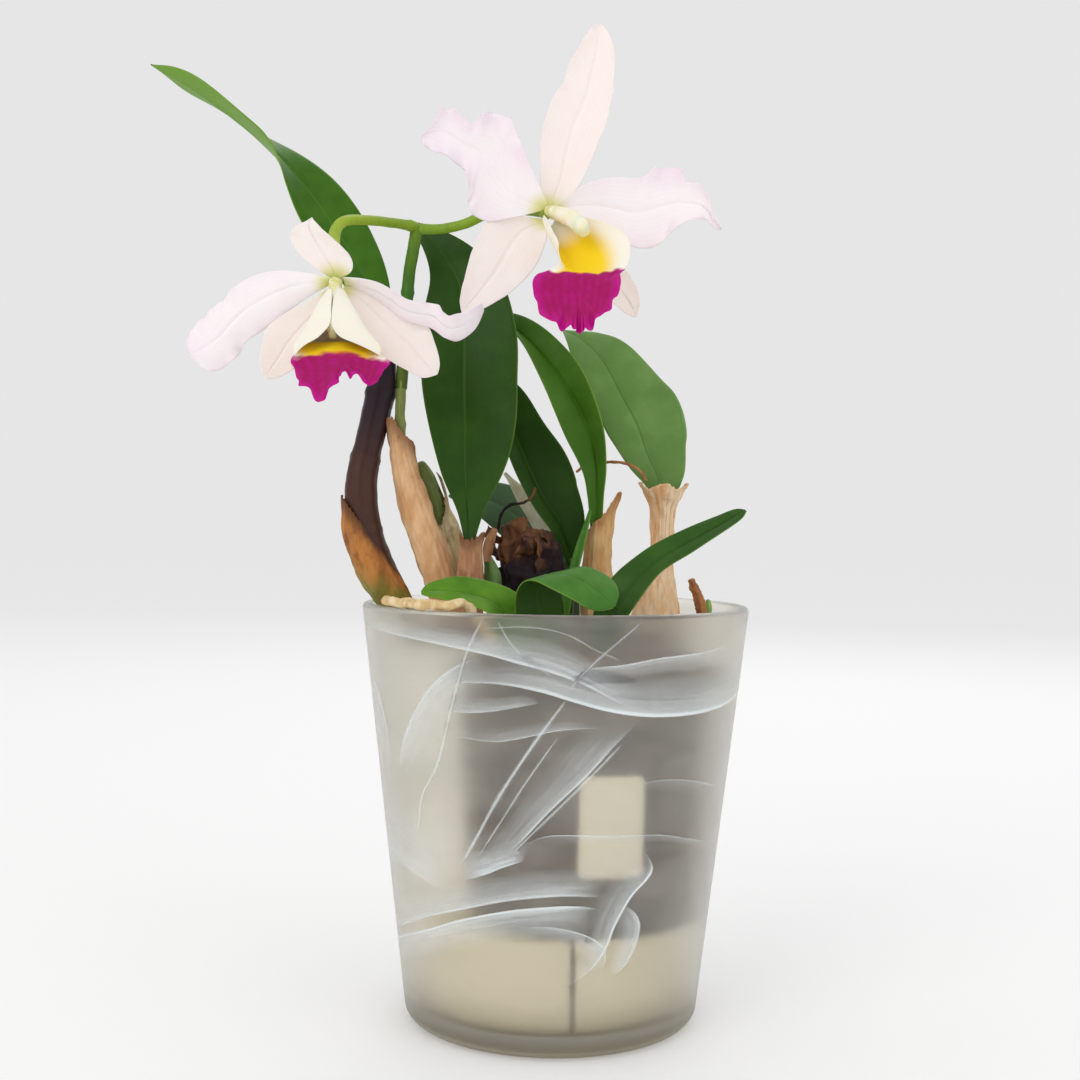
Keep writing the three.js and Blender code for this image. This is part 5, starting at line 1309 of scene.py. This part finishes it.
def petalShape(petal, seed, steps=96, across=44):
    t = np.linspace(0, 1, steps + 1)
    q = np.linspace(-1, 1, across + 1)
    low, high = (smooth(petal[edge], t)[:, None] for edge in ("left", "right"))
    share = (q / 2 + 0.5)[:, None]
    flat = low * (1 - share) + high * share
    span = np.linalg.norm(high - low, axis=-1)  # width at each step
    depth = smooth(np.array(petal["depth"], float)[:, None], t)
    edge = np.abs(q) ** 3 * rise(t, 0.18, 0.5)[:, None]
    random = np.random.default_rng(seed)
    turn = random.uniform(0, 6.3, 4)
    along = t[:, None] * 2 * math.pi
    folds = np.sin(5.3 * along + turn[0] + 1.3 * q) + 0.7 * np.sin(8.7 * along + turn[1] - 2 * q)
    folds = np.where(q < 0, folds, np.sin(6.1 * along + turn[2] - q) + 0.6 * np.sin(10.3 * along + turn[3] + q))
    narrow = np.minimum(span / 14, 1)
    back = depth - petal["tilt"] * q / 2 - petal["cup"] * (q**2 - 0.3) * narrow
    back = back + petal["frill"] * edge * folds * narrow
    back = back + 0.5 * np.exp(-((q / 0.07) ** 2)) * rise(t, 0, 0.2)[:, None] * rise(1 - t, 0, 0.3)[:, None]
    flat = flat + (high - low) * (0.012 * petal["frill"] * np.sign(q) * edge * np.roll(folds, 5, axis=0))[...,
                                                                                                          None]
    grid = np.stack([flat[..., 0], back, flat[..., 1]], -1)
    grid = grid + 0.22 * lumps(grid, 11, seed + 50, 2)[..., None] * [0, 1, 0]
    away = np.linalg.norm(grid, axis=-1)
    margin = np.maximum(np.abs(q), rise(t, 0.6, 1)[:, None])
    masks = {
        "across": q + 0 * t[:, None], "along": t[:, None] + 0 * q,
        "heart": 0.85 * rise(-away, -9, -2.5),
        "blush": petal["blush"] * (0.25 + 0.75 * margin**2) * rise(away, 6, 22),
    }
    thick = 0.62 * (0.35 + 0.65 * (1 - margin**4))
    return closedSheet(grid, thick, masks)


def netGrid(net, steps, across):
    net = np.array(net, float)
    count = net.shape[1]
    lines = smooth(net.reshape(len(net), -1), np.linspace(0, 1, steps + 1)).reshape(steps + 1, count, 3)
    lines = lines.transpose(1, 0, 2).reshape(count, -1)
    return smooth(lines, np.linspace(0, 1, across + 1)).reshape(across + 1, steps + 1, 3).transpose(1, 0, 2)


def lipShape(lip):
    steps, across = 130, 110
    grid = netGrid(lip["net"], steps, across)
    t = np.linspace(0, 1, steps + 1)[:, None] * np.ones(across + 1)
    q = np.linspace(-1, 1, across + 1) * np.ones((steps + 1, 1))
    random = np.random.default_rng(lip["seed"])
    start = sum(lip["flare"]) / 2
    end = np.maximum((t - start) / (1 - start), 0)
    margin = np.clip(np.maximum(np.abs(q), end), 0, 1)
    bearing = np.arctan2(q, (t - start) * 2.2 - 0.35)
    normal = unit(np.cross(np.gradient(grid, axis=1), np.gradient(grid, axis=0)))
    a, b, c = random.uniform(0, 6.3, 3)
    folds = np.sin(9 * bearing + a) + 0.6 * np.sin(16 * bearing + b) + 0.35 * np.sin(27 * bearing + c)
    weight = margin**5 * rise(t, start - 0.1, start + 0.12)
    grid = grid + normal * (lip["frill"] * weight * folds)[..., None]
    middle = grid[int(steps * (start + 0.15)), across // 2]
    grid = grid + unit(grid - middle) * (0.45 * lip["frill"] * weight * np.sin(13 * bearing + c))[..., None]
    lobes = margin**5 * (1 - rise(t, start - 0.2, start)) * rise(t, 0.15, 0.3)
    grid = grid + normal * (0.35 * lobes * np.sin(30 * t + a))[..., None]
    tongue = 0.03 * lumps(grid, 4, 7, 2)
    side = rise(-np.abs(q), -lip["throatHalf"] - 0.25, -lip["throatHalf"] + 0.12)
    low, high = lip["throat"]
    masks = {
        "across": q, "margin": rise(margin, 0.72, 1.0),
        "flare": rise(t + tongue + 0.02 * np.abs(q), *lip["flare"]),
        "throat": rise(t, low - 0.08, low + 0.08) * side,
        "glow": rise(t, high - 0.03, high + 0.04) * rise(-np.abs(q), -0.4, -0.1),
    }
    return closedSheet(grid, 0.55 * (0.4 + 0.6 * (1 - margin**3)), masks)


def columnLook():
    look = Look("columnCream", Roughness=0.4, Specular_IOR_Level=0.4, Subsurface_Weight=0.3)
    look.shader.inputs["Subsurface Scale"].default_value = 1.5 * mm
    surface = look.mix(look.ramp(look.mask("along"), 0.0, 0.4), (0.60, 0.60, 0.12), (0.90, 0.85, 0.60))
    look.colour(look.mix(look.ramp(look.noise(3, 3), 0.45, 0.7), surface, (0.94, 0.90, 0.80)))
    look.bump(look.noise(1.0, 3), 0.2, 0.2)
    return look.material


def columnShape(rows):
    body = stem(rows, steps=60, around=28, ribs=2, ribDepth=0.35)
    x, y, z, _ = rows[-2]
    cap = [(x - 0.6, y + 1.6, z + 1.6, 1.6), (x, y - 0.6, z + 0.4, 2.7),
           (x + 0.5, y - 2.4, z - 1.2, 2.5), (x + 0.8, y - 3.4, z - 2.4, 1.0)]
    return joined([body, stem(cap, steps=36, around=24, ribs=2, ribDepth=0.25)])


def makeFlowers():
    cream = columnLook()
    for seed, (name, flower) in enumerate(flowers.items()):
        centre = np.array(flower["centre"], float) + [0, 0, crown]
        for k, part in enumerate(("sepal_top", "petal_left", "petal_right", "sepal_left", "sepal_right")):
            petal = flower[part]
            shape = petalShape(petal, 10 * seed + k)
            makePiece(f"{name}_{part}_soft", shape, petalPaint[petal["paint"]], f"{name}_{part}",
                      centre)
        makePiece(f"{name}_lip_ruffled", lipShape(flower["lip"]), petalPaint["lip"], f"{name}_lip",
                  centre)
        makePiece(f"{name}_column_waxy", columnShape(flower["column"]), cream, f"{name}_column",
                  centre)


makeFlowers()

print("scene: done")
